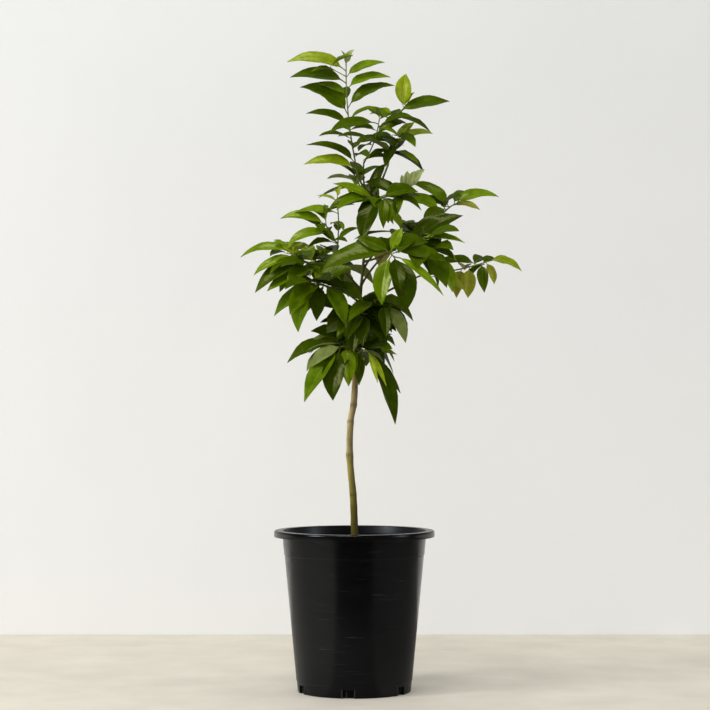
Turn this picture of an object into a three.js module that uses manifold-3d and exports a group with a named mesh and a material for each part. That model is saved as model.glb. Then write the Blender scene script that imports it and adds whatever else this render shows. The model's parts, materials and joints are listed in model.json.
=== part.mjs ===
// A young potted tangelo tree: nursery pot, soil, slender trunk, boughs and masses of leaves.
// Millimetres, +Z up, +X to the right and +Y away from the front of the tree.
// The origin is the middle of the pot's flat underside.
import * as THREE from 'three';
import Module from 'manifold-3d';
import { mergeVertices } from 'three/addons/utils/BufferGeometryUtils.js';

const wasm = await Module();
wasm.setup();

// Pot
const potHeight = 254;
const rimRadius = 127;
const rimSkirt = 10;
const wallTopRadius = 113;
const baseRadius = 90;
const wallThickness = 2;
const floorThickness = 2.5;
const edgeRound = 1.5;
const footHeight = 17;
const shoulderHeight = 215;
const wallStep = 0.7;
const potSides = 32;
const slotCount = 6;
const slotTurn = -6;
const slotWidth = 18;
const slotHeight = 13;
const slotDepth = 16;

// Soil
const soilDepth = 32;
const soilLevel = potHeight - soilDepth;
const soilFlatRadius = 34;
const soilDip = 4;

// Trunk: height above the soil, sideways, depth and diameter at each bend
const trunkBends = [
  [0, 1, 0, 12.7],
  [45, 0, -1, 11.4],
  [90, -2, -2, 10.8],
  [146, -7, -3, 10.4],
  [203, -6, -1, 10],
  [232, -1, 1, 9.9],
  [262, 1, 2, 9.7],
  [325, 4, 2, 8.2],
  [373, 7, 0, 6.2],
  [430, 12, -2, 4.6],
  [492, 19, -2, 4],
  [568, 35, 0, 3.6],
];
const trunkHeight = trunkBends.at(-1)[0];
const trunkSides = 10;
const trunkStep = 24;
const flareRadius = 3.2;
const flareHeight = 7;
// Swollen joints on the trunk: height above the soil, extra radius and spread
const trunkKnots = [
  [150, 0.7, 6],
  [202, 0.5, 5],
  [231, 0.6, 5],
];

// Limbs and twigs
const clearance = 0.3;
const boughSides = 6;
const twigSides = 4;
const boughStep = 20;
const twigStep = 18;
const fewestSteps = 3;

// Leaves
const petioleRatio = 0.13;
const petioleRadius = 0.75;
const petioleLift = 14;
const leafThickness = 1.1;
const leafFold = 0.2;
// Room kept round a leaf: to other masses and limbs, and to leaves of its own mass
const leafGuard = 1.4;
const bladeGuard = 0.4;
const leafAttempts = 8;
const outwardLean = 0.5;
const rollSpread = 0.5;
// Half width of a blade along its length, as shares of its full half width
const bladeOutline = [
  [0.26, 0.94],
  [0.66, 0.88],
];

// Boughs: parent, how far along it they leave, tip, bow at the middle, diameters at foot and tip
const boughs = {
  bough_left_leader: { on: 'trunk', along: 0.985, tip: [5, -7, 821], bow: [-5, 0, -2], wide: [3.4, 3] },
  bough_right_leader: { on: 'trunk', along: 1, tip: [53, 5, 832], bow: [1, 0, 1], wide: [3.4, 3] },
  bough_middle_leader: {
    on: 'bough_left_leader', along: 0.45, tip: [15, 6, 837], bow: [-1, 1, 0], wide: [2.6, 2.4],
  },
  bough_upper_right: { on: 'trunk', along: 0.849, tip: [137, 30, 753], bow: [0, 0, -7], wide: [3.6, 2.8] },
  bough_right_middle: { on: 'trunk', along: 0.805, tip: [78, -25, 706], bow: [0, 0, -4], wide: [3.4, 2.8] },
  bough_right_arm: { on: 'trunk', along: 0.673, tip: [107, 5, 658], bow: [0, 0, 4], wide: [4, 3] },
  bough_centre_front: { on: 'trunk', along: 0.74, tip: [49, -80, 687], bow: [0, 0, 4], wide: [3.6, 3] },
  bough_left_arm: { on: 'trunk', along: 0.726, tip: [-40, -12, 676], bow: [-2, 0, 8], wide: [3.8, 3.2] },
  bough_left_upright: {
    on: 'bough_left_arm', along: 0.72, tip: [-27, -8, 697], bow: [2, 0, 0], wide: [2.8, 2.6],
  },
  bough_left_lower: { on: 'trunk', along: 0.69, tip: [-43, -35, 638], bow: [0, 0, 5], wide: [3.4, 2.8] },
  bough_back_left: { on: 'trunk', along: 0.718, tip: [-26, 75, 670], bow: [0, 0, 6], wide: [3.6, 2.8] },
  bough_back_right: { on: 'trunk', along: 0.782, tip: [50, 80, 715], bow: [0, 0, 4], wide: [3.6, 2.8] },
  bough_upper_back: { on: 'trunk', along: 0.936, tip: [12, 50, 793], bow: [0, 0, 3], wide: [2.8, 2.4] },
  bough_young_shoot: { on: 'trunk', along: 0.955, tip: [69, -10, 783], bow: [0, 0, -3], wide: [2.8, 2.4] },
};

// Foliage masses. Each has the limb that it grows from and its shoots: the first goes on from the
// limb, and the others leave an earlier shoot. A shoot's leaves are dealt out from first to its tip,
// with the compass heading of each (0 right, 90 away, 180 left, 270 to the front), and with profiles
// from foot to tip of their rise, droop and blade length. Slim is a blade's width as a share of its
// length, least and most. Lean is how far a mass turns its blades to the light at the front.
const masses = {
  foliage_top_left: {
    on: 'bough_left_leader', along: 1, tint: 0x76a53a, reach: 240, lean: 0.6, shoots: [
      {
        tip: [-13, -5, 991], bow: [-5, 0, 0], wide: [2.6, 1.7], first: 0.02, slim: [0.34, 0.42],
        turn: [182, 178, 300, 90, 15, 200, 120, 178, 330, 182, 5, 100, 178, 5, 183, 5, 183, 60],
        rise: [2, 18, -10, 14, 6, 0, 10, 12, 14, 23, 24, 24, 5, 13, 3, 16, 6, 62],
        blade: [78, 76, 46, 60, 54, 50, 56, 66, 50, 84, 76, 56, 58, 68, 84, 62, 86, 24],
        droop: [38, 40, 44],
      },
    ],
  },
  foliage_top_middle: {
    on: 'bough_middle_leader', along: 1, tint: 0x4f7d2c, reach: 170, lean: 0.7, shoots: [
      {
        tip: [39, -24, 900], bow: [4, 0, 0], wide: [2.2, 1.8], first: 0.42, slim: [0.36, 0.44],
        turn: [80, 182, 20, 10, 165, 350, 183, 176], rise: [12, -3, -16, 20, 8, -24, -4, 28],
        blade: [56, 66, 46, 50, 46, 42, 80, 54], droop: [34],
      },
      {
        on: 0, along: 0.86, tip: [78, -14, 922], bow: [0, 0, -4], wide: [1.9, 1.6], first: 0.1, slim: [0.42, 0.5],
        turn: [350, 20, 172, 150, 5, 60], rise: [10, -20, 24, 12, 10, 76],
        blade: [50, 44, 44, 46, 74, 52], droop: [30],
      },
    ],
  },
  foliage_top_right: {
    on: 'bough_right_leader', along: 1, tint: 0x3c6a26, reach: 145, lean: 0.7, shoots: [
      {
        tip: [73, 8, 875], bow: [-3, 0, 0], wide: [2.6, 2], first: 0.2, slim: [0.36, 0.46],
        turn: [190, 188, 90, 60, 205, 335, 120, 350, 222, 2, 25, 280],
        rise: [-66, -4, 8, 28, -14, -32, 20, -4, -52, 13, 44, 30],
        blade: [62, 46, 56, 48, 40, 46, 48, 36, 54, 54, 40, 28], droop: [34],
      },
    ],
  },
  foliage_young_shoot: {
    on: 'bough_young_shoot', along: 1, tint: 0x8db552, reach: 110, lean: 0.8, shoots: [
      {
        tip: [90, -14, 793], bow: [0, 0, -2], wide: [2.1, 1.7], first: 0.3, slim: [0.34, 0.44],
        turn: [250, 110, 80, 300, 20], rise: [-58, 66, 70, 58, 48], blade: [42, 30, 34, 32, 38], droop: [44],
      },
    ],
  },
  foliage_upper_right: {
    on: 'bough_upper_right', along: 1, tint: 0x4c7a2b, reach: 125, lean: 0.8, shoots: [
      {
        tip: [162, 42, 775], bow: [0, 0, 2], wide: [2.4, 1.8], first: 0.2, slim: [0.34, 0.44],
        turn: [184, 100, 215, 165, 340, 60, 0], rise: [8, 15, -24, 27, -14, 18, 4],
        blade: [78, 62, 60, 74, 46, 56, 66], droop: [36, 44],
      },
    ],
  },
  foliage_right_middle: {
    on: 'bough_right_middle', along: 1, tint: 0x37632a, reach: 140, lean: 1.1, shoots: [
      {
        tip: [109, -40, 713], bow: [0, 0, 2], wide: [2.6, 2], first: 0.12, slim: [0.32, 0.42],
        turn: [2, 320, 290, 350, 60, 355, 330, 250, 10], rise: [26, -56, -60, -28, 8, 24, -10, -44, -8],
        blade: [84, 64, 54, 64, 60, 76, 74, 48, 62], droop: [30],
      },
      {
        on: 0, along: 0.5, tip: [122, -30, 690], bow: [0, 0, -2], wide: [2, 1.7], first: 0.6, slim: [0.34, 0.42],
        turn: [20, 300, 345], rise: [-20, -50, -65], blade: [54, 48, 62], droop: [30],
      },
    ],
  },
  foliage_right_arm: {
    on: 'bough_right_arm', along: 1, tint: 0x5d7f33, reach: 190, lean: 0.8, shoots: [
      {
        tip: [214, 15, 681], bow: [0, 0, -3], wide: [2.8, 1.8], first: 0.6, slim: [0.4, 0.5],
        turn: [245, 90, 255, 60, 180, 285, 320, 358], rise: [-70, -6, -78, 12, -2, -76, -74, -22],
        blade: [46, 54, 46, 44, 60, 46, 44, 54], droop: [30, 30, 30, 36, 25, 25, 40, 56],
      },
      {
        on: 0, along: 0.04, tip: [120, -8, 655], bow: [0, 0, 0], wide: [1.9, 1.7], first: 0.6, slim: [0.34, 0.42],
        turn: [60, 350], rise: [-8, -24], blade: [50, 58], droop: [30],
      },
    ],
  },
  foliage_centre_front: {
    on: 'bough_centre_front', along: 1, tint: 0x2f5a24, reach: 155, lean: 1.3, shoots: [
      {
        tip: [61, -98, 681], bow: [0, 0, 3], wide: [2.8, 2.2], first: 0.2, slim: [0.38, 0.46],
        turn: [60, 20, 150, 182, 172, 30, 235, 300, 340, 285],
        rise: [10, 12, -4, -16, 24, 60, -72, -74, -46, -58],
        blade: [60, 64, 60, 98, 54, 42, 74, 90, 96, 62], droop: [28],
      },
    ],
  },
  foliage_centre_upper: {
    on: 'trunk', along: 0.962, tint: 0x33602a, reach: 125, lean: 1.1, shoots: [
      {
        tip: [48, -38, 780], bow: [0, 0, 3], wide: [2.6, 2], first: 0.25, slim: [0.4, 0.5],
        turn: [180, 184, 222, 330, 15, 300, 262], rise: [26, -16, -64, -40, 6, -72, -70],
        blade: [72, 74, 68, 34, 56, 42, 52], droop: [26],
      },
    ],
  },
  foliage_left_arm: {
    on: 'bough_left_arm', along: 1, tint: 0x44732a, reach: 165, lean: 0.9, shoots: [
      {
        tip: [-79, -20, 679], bow: [0, 0, -2], wide: [3, 2.4], first: 0.2, slim: [0.36, 0.46],
        turn: [90, 262, 150, 100, 212, 200], rise: [0, -50, 14, 22, -48, -34],
        blade: [64, 40, 50, 58, 66, 86], droop: [30],
      },
      {
        on: 0, along: 0.96, tip: [-101, -24, 693], bow: [0, 0, -2], wide: [2.2, 1.8], first: 0.25, slim: [0.24, 0.32],
        turn: [192, 120, 205, 60, 165, 181], rise: [-22, 12, -36, 38, 26, -8],
        blade: [74, 50, 66, 34, 38, 74], droop: [44],
      },
      {
        on: 0, along: 0.5, tip: [-68, -35, 661], bow: [0, 0, 2], wide: [2, 1.8], first: 0.6, slim: [0.36, 0.46],
        turn: [216, 196], rise: [-38, -28], blade: [60, 70], droop: [26],
      },
    ],
  },
  foliage_left_upright: {
    on: 'bough_left_upright', along: 1, tint: 0x5b8a30, reach: 140, lean: 0.8, shoots: [
      {
        tip: [-27, -10, 775], bow: [2, 0, 0], wide: [2.4, 1.6], first: 0.2, slim: [0.26, 0.36],
        turn: [5, 90, 110, 300, 178, 10, 178], rise: [28, 15, 0, -50, 0, 6, 14],
        blade: [36, 50, 44, 24, 64, 26, 30], droop: [34],
      },
      {
        on: 0, along: 0.14, tip: [-45, -14, 749], bow: [-6, 0, 0], wide: [1.9, 1.6], first: 0.12, slim: [0.28, 0.36],
        turn: [186, 198, 80, 182, 150, 262], rise: [22, -18, 12, 6, 34, 40],
        blade: [40, 68, 48, 72, 30, 26], droop: [60, 40, 30],
      },
    ],
  },
  foliage_left_lower: {
    on: 'bough_left_lower', along: 1, tint: 0x3a6a26, reach: 155, lean: 1.1, shoots: [
      {
        tip: [-56, -47, 643], bow: [0, 0, 1], wide: [2.6, 2.1], first: 0.15, slim: [0.42, 0.5],
        turn: [345, 110, 180, 330, 196, 215, 188, 262], rise: [-26, -56, -36, -60, -62, -44, -48, -76],
        blade: [72, 62, 84, 68, 88, 70, 78, 54], droop: [32],
      },
    ],
  },
  foliage_middle_front: {
    on: 'trunk', along: 0.648, tint: 0x2b5422, reach: 115, lean: 1.2, shoots: [
      {
        tip: [12, -42, 597], bow: [0, 0, 3], wide: [2.6, 2], first: 0.4, slim: [0.42, 0.52],
        turn: [10, 185, 335, 200, 250, 350, 285, 225], rise: [-20, -34, -52, -14, -64, -30, -70, -44],
        blade: [50, 60, 60, 54, 66, 56, 62, 58], droop: [28],
      },
    ],
  },
  foliage_right_lower: {
    on: 'trunk', along: 0.664, tint: 0x355c2c, reach: 125, lean: 1.1, shoots: [
      {
        tip: [46, -36, 612], bow: [0, 0, 3], wide: [2.6, 2], first: 0.4, slim: [0.36, 0.44],
        turn: [200, 350, 215, 345, 280], rise: [-50, -72, -20, -60, -66], blade: [54, 66, 40, 68, 56], droop: [28],
      },
    ],
  },
  foliage_lower_left: {
    on: 'trunk', along: 0.553, tint: 0x47762b, reach: 140, lean: 0.9, shoots: [
      {
        tip: [-21, -45, 543], bow: [0, 0, 5], wide: [3, 2.2], first: 0.4, slim: [0.4, 0.5],
        turn: [270, 172, 150, 188, 183, 285, 165, 200, 206, 245],
        rise: [-76, -6, -34, -40, -20, -78, -46, -36, -54, -74],
        blade: [50, 66, 64, 76, 86, 60, 74, 60, 92, 82], droop: [34, 34, 26],
      },
    ],
  },
  foliage_lower_right: {
    on: 'trunk', along: 0.545, tint: 0x3b6927, reach: 145, lean: 1, shoots: [
      {
        tip: [20, -40, 537], bow: [0, 0, 4], wide: [3, 2.2], first: 0.4, slim: [0.26, 0.34],
        turn: [10, 30, 245, 0, 20, 338, 330, 300], rise: [24, -8, -78, -52, -60, -68, -58, -74],
        blade: [52, 58, 52, 82, 76, 112, 60, 56], droop: [24],
      },
    ],
  },
  foliage_lower_back: {
    on: 'trunk', along: 0.592, tint: 0x35622a, reach: 155, lean: 0, shoots: [
      {
        tip: [12, 58, 568], bow: [0, 0, 5], wide: [3, 2.2], first: 0.35, slim: [0.4, 0.48],
        turn: [20, 160, 60, 130, 95, 40, 75, 110], rise: [-50, -40, -40, -50, -58, -56, -16, -28],
        blade: [78, 76, 84, 82, 84, 78, 80, 80], droop: [28],
      },
    ],
  },
  foliage_back_left: {
    on: 'bough_back_left', along: 1, tint: 0x3f6f29, reach: 155, lean: 0, shoots: [
      {
        tip: [-53, 104, 691], bow: [0, 0, 3], wide: [2.8, 2], first: 0.12, slim: [0.38, 0.46],
        turn: [40, 170, 70, 210, 120, 150, 20, 90, 180], rise: [-20, -24, -34, -4, 0, -40, 8, 12, 10],
        blade: [72, 80, 80, 66, 82, 80, 66, 74, 70], droop: [32],
      },
    ],
  },
  foliage_back_right: {
    on: 'bough_back_right', along: 1, tint: 0x3c6b28, reach: 155, lean: 0, shoots: [
      {
        tip: [78, 108, 736], bow: [0, 0, 3], wide: [2.8, 2], first: 0.12, slim: [0.38, 0.46],
        turn: [130, 350, 100, 20, 60, 160, 330, 80, 120], rise: [-14, -30, -36, 0, -24, -10, 4, 10, 26],
        blade: [78, 70, 82, 74, 80, 70, 62, 76, 62], droop: [32],
      },
    ],
  },
  foliage_upper_back: {
    on: 'bough_upper_back', along: 1, tint: 0x44742a, reach: 125, lean: 0, shoots: [
      {
        tip: [4, 68, 819], bow: [0, 0, 2], wide: [2.2, 1.8], first: 0.15, slim: [0.36, 0.44],
        turn: [0, 190, 60, 140, 250, 100, 30, 160, 90], rise: [0, -16, -14, 8, -30, 34, 24, 30, -4],
        blade: [60, 62, 66, 64, 44, 58, 52, 50, 68], droop: [32],
      },
    ],
  },
};

// Random numbers from a whole-number seed, the same on every run
function seededRandom(seed) {
  let state = Math.imul(seed + 1, 0x9e3779b1) >>> 0;
  return () => {
    state = (state + 0x6d2b79f5) >>> 0;
    let mixed = Math.imul(state ^ (state >>> 15), state | 1);
    mixed ^= mixed + Math.imul(mixed ^ (mixed >>> 7), mixed | 61);
    return ((mixed ^ (mixed >>> 14)) >>> 0) / 4294967296;
  };
}

// Value at a share of the way through a short profile
function profileAt(profile, share) {
  const place = share * (profile.length - 1);
  const before = Math.min(Math.floor(place), profile.length - 1);
  const after = Math.min(before + 1, profile.length - 1);
  return profile[before] + (profile[after] - profile[before]) * (place - before);
}

function degrees(angle) {
  return THREE.MathUtils.degToRad(angle);
}

// Closed skin over rings of points, capped at the foot, with a flat cap or a point at the tip. The
// second half of the sides, a leaf's underside, is split along the same diagonals as the first half,
// so that the two skins of a twisted blade stay apart.
function ringSkin(rings, point) {
  const sides = rings[0].length;
  const points = rings.flat();
  const faces = [];
  for (let ring = 0; ring < rings.length - 1; ring += 1) {
    for (let side = 0; side < sides; side += 1) {
      const here = ring * sides + side;
      const next = ring * sides + ((side + 1) % sides);
      if (side < sides / 2) {
        faces.push(here, next, next + sides, here, next + sides, here + sides);
      } else {
        faces.push(here, next, here + sides, next, next + sides, here + sides);
      }
    }
  }
  for (let side = 1; side < sides - 1; side += 1) {
    faces.push(0, side + 1, side);
  }
  const last = (rings.length - 1) * sides;
  if (point) {
    points.push(point);
    for (let side = 0; side < sides; side += 1) {
      faces.push(last + side, last + ((side + 1) % sides), points.length - 1);
    }
  } else {
    for (let side = 1; side < sides - 1; side += 1) {
      faces.push(last, last + side, last + side + 1);
    }
  }
  const geometry = new THREE.BufferGeometry().setFromPoints(points);
  geometry.setIndex(faces);
  return geometry;
}

// Six times the volume inside a closed skin, negative where its faces point in
function signedVolume(geometry) {
  const corners = geometry.attributes.position;
  const faces = geometry.index.array;
  const a = new THREE.Vector3();
  const b = new THREE.Vector3();
  const c = new THREE.Vector3();
  let total = 0;
  for (let face = 0; face < faces.length; face += 3) {
    a.fromBufferAttribute(corners, faces[face]);
    b.fromBufferAttribute(corners, faces[face + 1]);
    c.fromBufferAttribute(corners, faces[face + 2]);
    total += a.dot(b.cross(c));
  }
  return total;
}

function toSolid(source) {
  const bare = source.clone();
  bare.deleteAttribute('normal');
  bare.deleteAttribute('uv');
  const geometry = mergeVertices(bare);
  const triVerts = new Uint32Array(geometry.index.array);
  if (signedVolume(geometry) < 0) {
    for (let face = 0; face < triVerts.length; face += 3) {
      [triVerts[face], triVerts[face + 1]] = [triVerts[face + 1], triVerts[face]];
    }
  }
  const vertProperties = new Float32Array(geometry.attributes.position.array);
  return new wasm.Manifold(new wasm.Mesh({ numProp: 3, vertProperties, triVerts }));
}

function toGeometry(solid) {
  const mesh = solid.getMesh();
  const geometry = new THREE.BufferGeometry();
  geometry.setAttribute('position', new THREE.BufferAttribute(new Float32Array(mesh.vertProperties), 3));
  geometry.setIndex(new THREE.BufferAttribute(new Uint32Array(mesh.triVerts), 1));
  geometry.computeVertexNormals();
  return geometry;
}

// The largest of the pieces that a cut leaves
function largestPiece(solid) {
  return solid.decompose().reduce((best, piece) => (piece.volume() > best.volume() ? piece : best));
}

// Pot

function wallRadius(height) {
  const grown = baseRadius + ((wallTopRadius - baseRadius) * height) / (potHeight - rimSkirt);
  return grown - (height < footHeight ? wallStep : 0) + (height > shoulderHeight ? wallStep : 0);
}

function innerRadius(height) {
  return wallRadius(height) - wallThickness - (height < footHeight ? 0 : wallStep);
}

function potOutline() {
  const underLip = potHeight - wallThickness;
  const lipFoot = potHeight - rimSkirt;
  const points = [
    [0, 0],
    [wallRadius(0) - edgeRound, 0],
    [wallRadius(0), edgeRound],
    [wallRadius(footHeight - 0.1), footHeight],
    [wallRadius(footHeight + 0.1), footHeight + wallStep],
    [wallRadius(shoulderHeight), shoulderHeight],
    [wallRadius(shoulderHeight + 0.1), shoulderHeight + wallStep],
    [wallRadius(lipFoot), lipFoot],
    [wallTopRadius + wallThickness, underLip],
    [rimRadius - wallThickness, underLip],
    [rimRadius - wallThickness, lipFoot],
    [rimRadius, lipFoot],
    [rimRadius, potHeight - edgeRound],
    [rimRadius - edgeRound, potHeight],
    [wallTopRadius + wallThickness, potHeight],
    [wallTopRadius, potHeight - edgeRound],
    [innerRadius(lipFoot), lipFoot - wallThickness],
    [innerRadius(footHeight), footHeight],
    [innerRadius(0), floorThickness],
    [0, floorThickness],
  ];
  return points.map(([radius, height]) => new THREE.Vector2(radius, height));
}

function turned(outline) {
  return new THREE.LatheGeometry(outline, potSides).rotateX(Math.PI / 2);
}

function potSolid() {
  let pot = toSolid(turned(potOutline()));
  for (let slot = 0; slot < slotCount; slot += 1) {
    const cutter = new THREE.BoxGeometry(slotWidth, slotDepth, slotHeight * 2);
    cutter.translate(0, -baseRadius, 0);
    cutter.rotateZ(degrees(slotTurn) + (slot * 2 * Math.PI) / slotCount);
    pot = pot.subtract(toSolid(cutter));
  }
  return pot;
}

function soilSolid() {
  const floor = floorThickness + clearance;
  const top = soilLevel - clearance;
  const points = [
    [0, floor],
    [innerRadius(0) - 1, floor],
    [innerRadius(footHeight) - 1, footHeight],
    [innerRadius(top) - 1, top - soilDip / 2],
    [(innerRadius(top) + soilFlatRadius) / 2, top - soilDip],
    [soilFlatRadius, top],
    [0, top],
  ];
  return toSolid(turned(points.map(([radius, height]) => new THREE.Vector2(radius, height))));
}

// Trunk

// Value of one column of the bends at a share of the trunk's height, on a smooth curve
function bendAt(column, share) {
  const height = share * trunkHeight;
  let row = trunkBends.findIndex((bend) => bend[0] >= height);
  row = Math.max(row, 1);
  const [before, start, end, after] = [row - 2, row - 1, row, row + 1].map(
    (index) => trunkBends[THREE.MathUtils.clamp(index, 0, trunkBends.length - 1)],
  );
  const span = end[0] - start[0];
  const place = (height - start[0]) / span;
  const startSlope = (end[column] - before[column]) / (end[0] - before[0]);
  const endSlope = (after[column] - start[column]) / (after[0] - start[0]);
  const square = place * place;
  const cube = square * place;
  return (
    (2 * cube - 3 * square + 1) * start[column] +
    (cube - 2 * square + place) * span * startSlope +
    (3 * square - 2 * cube) * end[column] +
    (cube - square) * span * endSlope
  );
}

const trunkLimb = {
  pointAt: (share) => new THREE.Vector3(bendAt(1, share), bendAt(2, share), soilLevel + share * trunkHeight),
  radiusAt: (share) => {
    const height = share * trunkHeight;
    const swelling = trunkKnots.map(([place, extra, spread]) => extra * Math.exp(-(((height - place) / spread) ** 2)));
    const flare = flareRadius * Math.exp(-height / flareHeight);
    return bendAt(3, share) / 2 + flare + swelling.reduce((sum, extra) => sum + extra, 0);
  },
};

function levelRing(centre, radius, height) {
  return Array.from({ length: trunkSides }, (_, side) => {
    const turn = (side * 2 * Math.PI) / trunkSides;
    return new THREE.Vector3(centre.x + radius * Math.cos(turn), centre.y + radius * Math.sin(turn), height);
  });
}

function trunkSolid(extra, overrun) {
  const steps = Math.round(trunkHeight / trunkStep);
  const heights = [0, 5, 12];
  for (let step = 1; step <= steps; step += 1) {
    heights.push((step * trunkHeight) / steps);
  }
  const rings = heights.map((height, index) => {
    const share = height / trunkHeight;
    const isFoot = index === 0;
    const isTip = index === heights.length - 1;
    const level = soilLevel + height + (isTip ? overrun : 0) - (isFoot ? overrun : 0);
    return levelRing(trunkLimb.pointAt(share), trunkLimb.radiusAt(share) + extra, level);
  });
  return toSolid(ringSkin(rings));
}

// Boughs and twigs

function bowedLimb(parent, along, tip, bow, wide, stepLength) {
  const start = parent.pointAt(along);
  const end = new THREE.Vector3(...tip);
  const arch = new THREE.Vector3(...bow);
  const length = start.distanceTo(end);
  const steps = Math.max(fewestSteps, Math.round(length / stepLength));
  const joints = Array.from({ length: steps + 1 }, (_, step) => {
    const share = step / steps;
    return start.clone().lerp(end, share).addScaledVector(arch, 4 * share * (1 - share));
  });
  return {
    length,
    joints,
    pointAt: (share) => {
      const step = Math.min(Math.floor(share * steps), steps - 1);
      return joints[step].clone().lerp(joints[step + 1], share * steps - step);
    },
    tangentAt: (share) => end.clone().sub(start).addScaledVector(arch, 4 - 8 * share).normalize(),
    radiusAt: (share) => (wide[0] + (wide[1] - wide[0]) * share) / 2,
  };
}

function limbSolid(limb, sides, extra = 0) {
  const last = limb.joints.length - 1;
  let across = new THREE.Vector3(0, 1, 0);
  const rings = limb.joints.map((joint, step) => {
    const share = step / last;
    const tangent = limb.tangentAt(share);
    across = across.clone().addScaledVector(tangent, -across.dot(tangent)).normalize();
    const upright = tangent.clone().cross(across);
    const centre = joint.clone().addScaledVector(tangent, step === last ? extra : 0);
    const radius = limb.radiusAt(share) + extra;
    return Array.from({ length: sides }, (_, side) => {
      const turn = ((side + 0.5) * 2 * Math.PI) / sides;
      const ring = centre.clone().addScaledVector(across, radius * Math.cos(turn));
      return ring.addScaledVector(upright, radius * Math.sin(turn));
    });
  });
  return toSolid(ringSkin(rings));
}

// Leaves

// The leaf's middle line, worked out from its compass heading, rise, droop and length
function leafLine(foot, heading, rise, droop, blade) {
  const out = new THREE.Vector3(Math.cos(degrees(heading)), Math.sin(degrees(heading)), 0);
  const startRise = degrees(rise + droop / 2);
  const petiole = blade * petioleRatio;
  const petioleRise = startRise + degrees(petioleLift);
  const neck = foot
    .clone()
    .addScaledVector(out, petiole * Math.cos(petioleRise))
    .setZ(foot.z + petiole * Math.sin(petioleRise));
  const curl = degrees(droop) / blade;
  return {
    foot,
    neck,
    out,
    pointAt: (share) => {
      const angle = startRise - curl * blade * share;
      const ahead = (Math.sin(startRise) - Math.sin(angle)) / curl;
      const up = (Math.cos(angle) - Math.cos(startRise)) / curl;
      return neck.clone().addScaledVector(out, ahead).setZ(neck.z + up);
    },
    tangentAt: (share) => {
      const angle = startRise - curl * blade * share;
      return out.clone().multiplyScalar(Math.cos(angle)).setZ(Math.sin(angle));
    },
  };
}

// One ring of a leaf: its two edges, its top and its underside
function leafRing(centre, tangent, facing, halfWidth, thickness) {
  const side = tangent.clone().cross(facing).normalize();
  const upper = side.clone().cross(tangent);
  const edgeRise = leafFold * halfWidth;
  return [
    centre.clone().addScaledVector(side, -halfWidth).addScaledVector(upper, edgeRise),
    centre.clone().addScaledVector(upper, thickness / 2),
    centre.clone().addScaledVector(side, halfWidth).addScaledVector(upper, edgeRise),
    centre.clone().addScaledVector(upper, -thickness / 2),
  ];
}

function leafSkin(line, facing, width, guard) {
  const thickness = leafThickness + guard * 2;
  const petioleWide = petioleRadius + guard;
  const rings = [
    leafRing(line.foot, line.neck.clone().sub(line.foot).normalize(), facing, petioleWide, petioleWide * 2),
    leafRing(line.neck, line.tangentAt(0), facing, petioleWide * 1.2, petioleWide * 2),
  ];
  for (const [share, spread] of bladeOutline) {
    const halfWidth = (width / 2) * spread + guard;
    rings.push(leafRing(line.pointAt(share), line.tangentAt(share), facing, halfWidth, thickness));
  }
  const tip = line.pointAt(1).addScaledVector(line.tangentAt(1), guard);
  return { rings, tip };
}

function growLeaf(shoot, index, attempt) {
  const random = seededRandom(shoot.seed * 1000 + index * 10 + attempt);
  const count = shoot.turn.length;
  const share = count > 1 ? index / (count - 1) : 1;
  const along = Math.min(shoot.first + (1 - shoot.first) * share, 1 - 1 / shoot.limb.length);
  const swing = attempt === 0 ? 6 : 14 + 9 * attempt;
  const heading = shoot.turn[index] + (random() - 0.5) * swing;
  const rise = profileAt(shoot.rise, share) + (random() - 0.5) * (attempt === 0 ? 4 : 8 + 5 * attempt);
  const droop = profileAt(shoot.droop, share) * (0.85 + 0.3 * random());
  const blade = profileAt(shoot.blade, share) * (0.97 + 0.06 * random() - 0.03 * attempt);
  const width = blade * (shoot.slim[0] + (shoot.slim[1] - shoot.slim[0]) * random());
  const line = leafLine(shoot.limb.pointAt(along), heading, rise, droop, blade);
  const facing = new THREE.Vector3(
    line.out.x * outwardLean + (random() - 0.5) * rollSpread,
    line.out.y * outwardLean - shoot.lean + (random() - 0.5) * rollSpread,
    1,
  );
  const body = leafSkin(line, facing, width, 0);
  const guard = leafSkin(line, facing, width, leafGuard);
  const ownGuard = leafSkin(line, facing, width, bladeGuard);
  return {
    shoot,
    tip: body.tip,
    solid: toSolid(ringSkin(body.rings, body.tip)),
    guard: toSolid(ringSkin(guard.rings, guard.tip)),
    ownGuard: toSolid(ringSkin(ownGuard.rings.slice(2), ownGuard.tip)),
  };
}

function boxesMeet(first, second) {
  return [0, 1, 2].every((axis) => first.min[axis] <= second.max[axis] && second.min[axis] <= first.max[axis]);
}

function meets(first, second) {
  return boxesMeet(first.boundingBox(), second.boundingBox()) && !first.intersect(second).isEmpty();
}

// Growing the plant

const limbs = { trunk: trunkLimb };
const parentGuards = { trunk: trunkSolid(clearance, clearance) };
const hardSolids = [];
const plant = new THREE.Group();

function addMesh(name, solid, color, roughness) {
  const material = new THREE.MeshStandardMaterial({ color, roughness, metalness: 0, flatShading: true });
  const mesh = new THREE.Mesh(toGeometry(solid), material);
  mesh.name = name;
  plant.add(mesh);
}

function growPot() {
  addMesh('pot', potSolid(), 0x141516, 0.38);
  addMesh('soil', soilSolid(), 0x2b2018, 0.95);
}

function growTrunk() {
  const trunk = trunkSolid(0, 0);
  hardSolids.push(trunk);
  addMesh('trunk', trunk, 0x94875a, 0.8);
}

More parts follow.
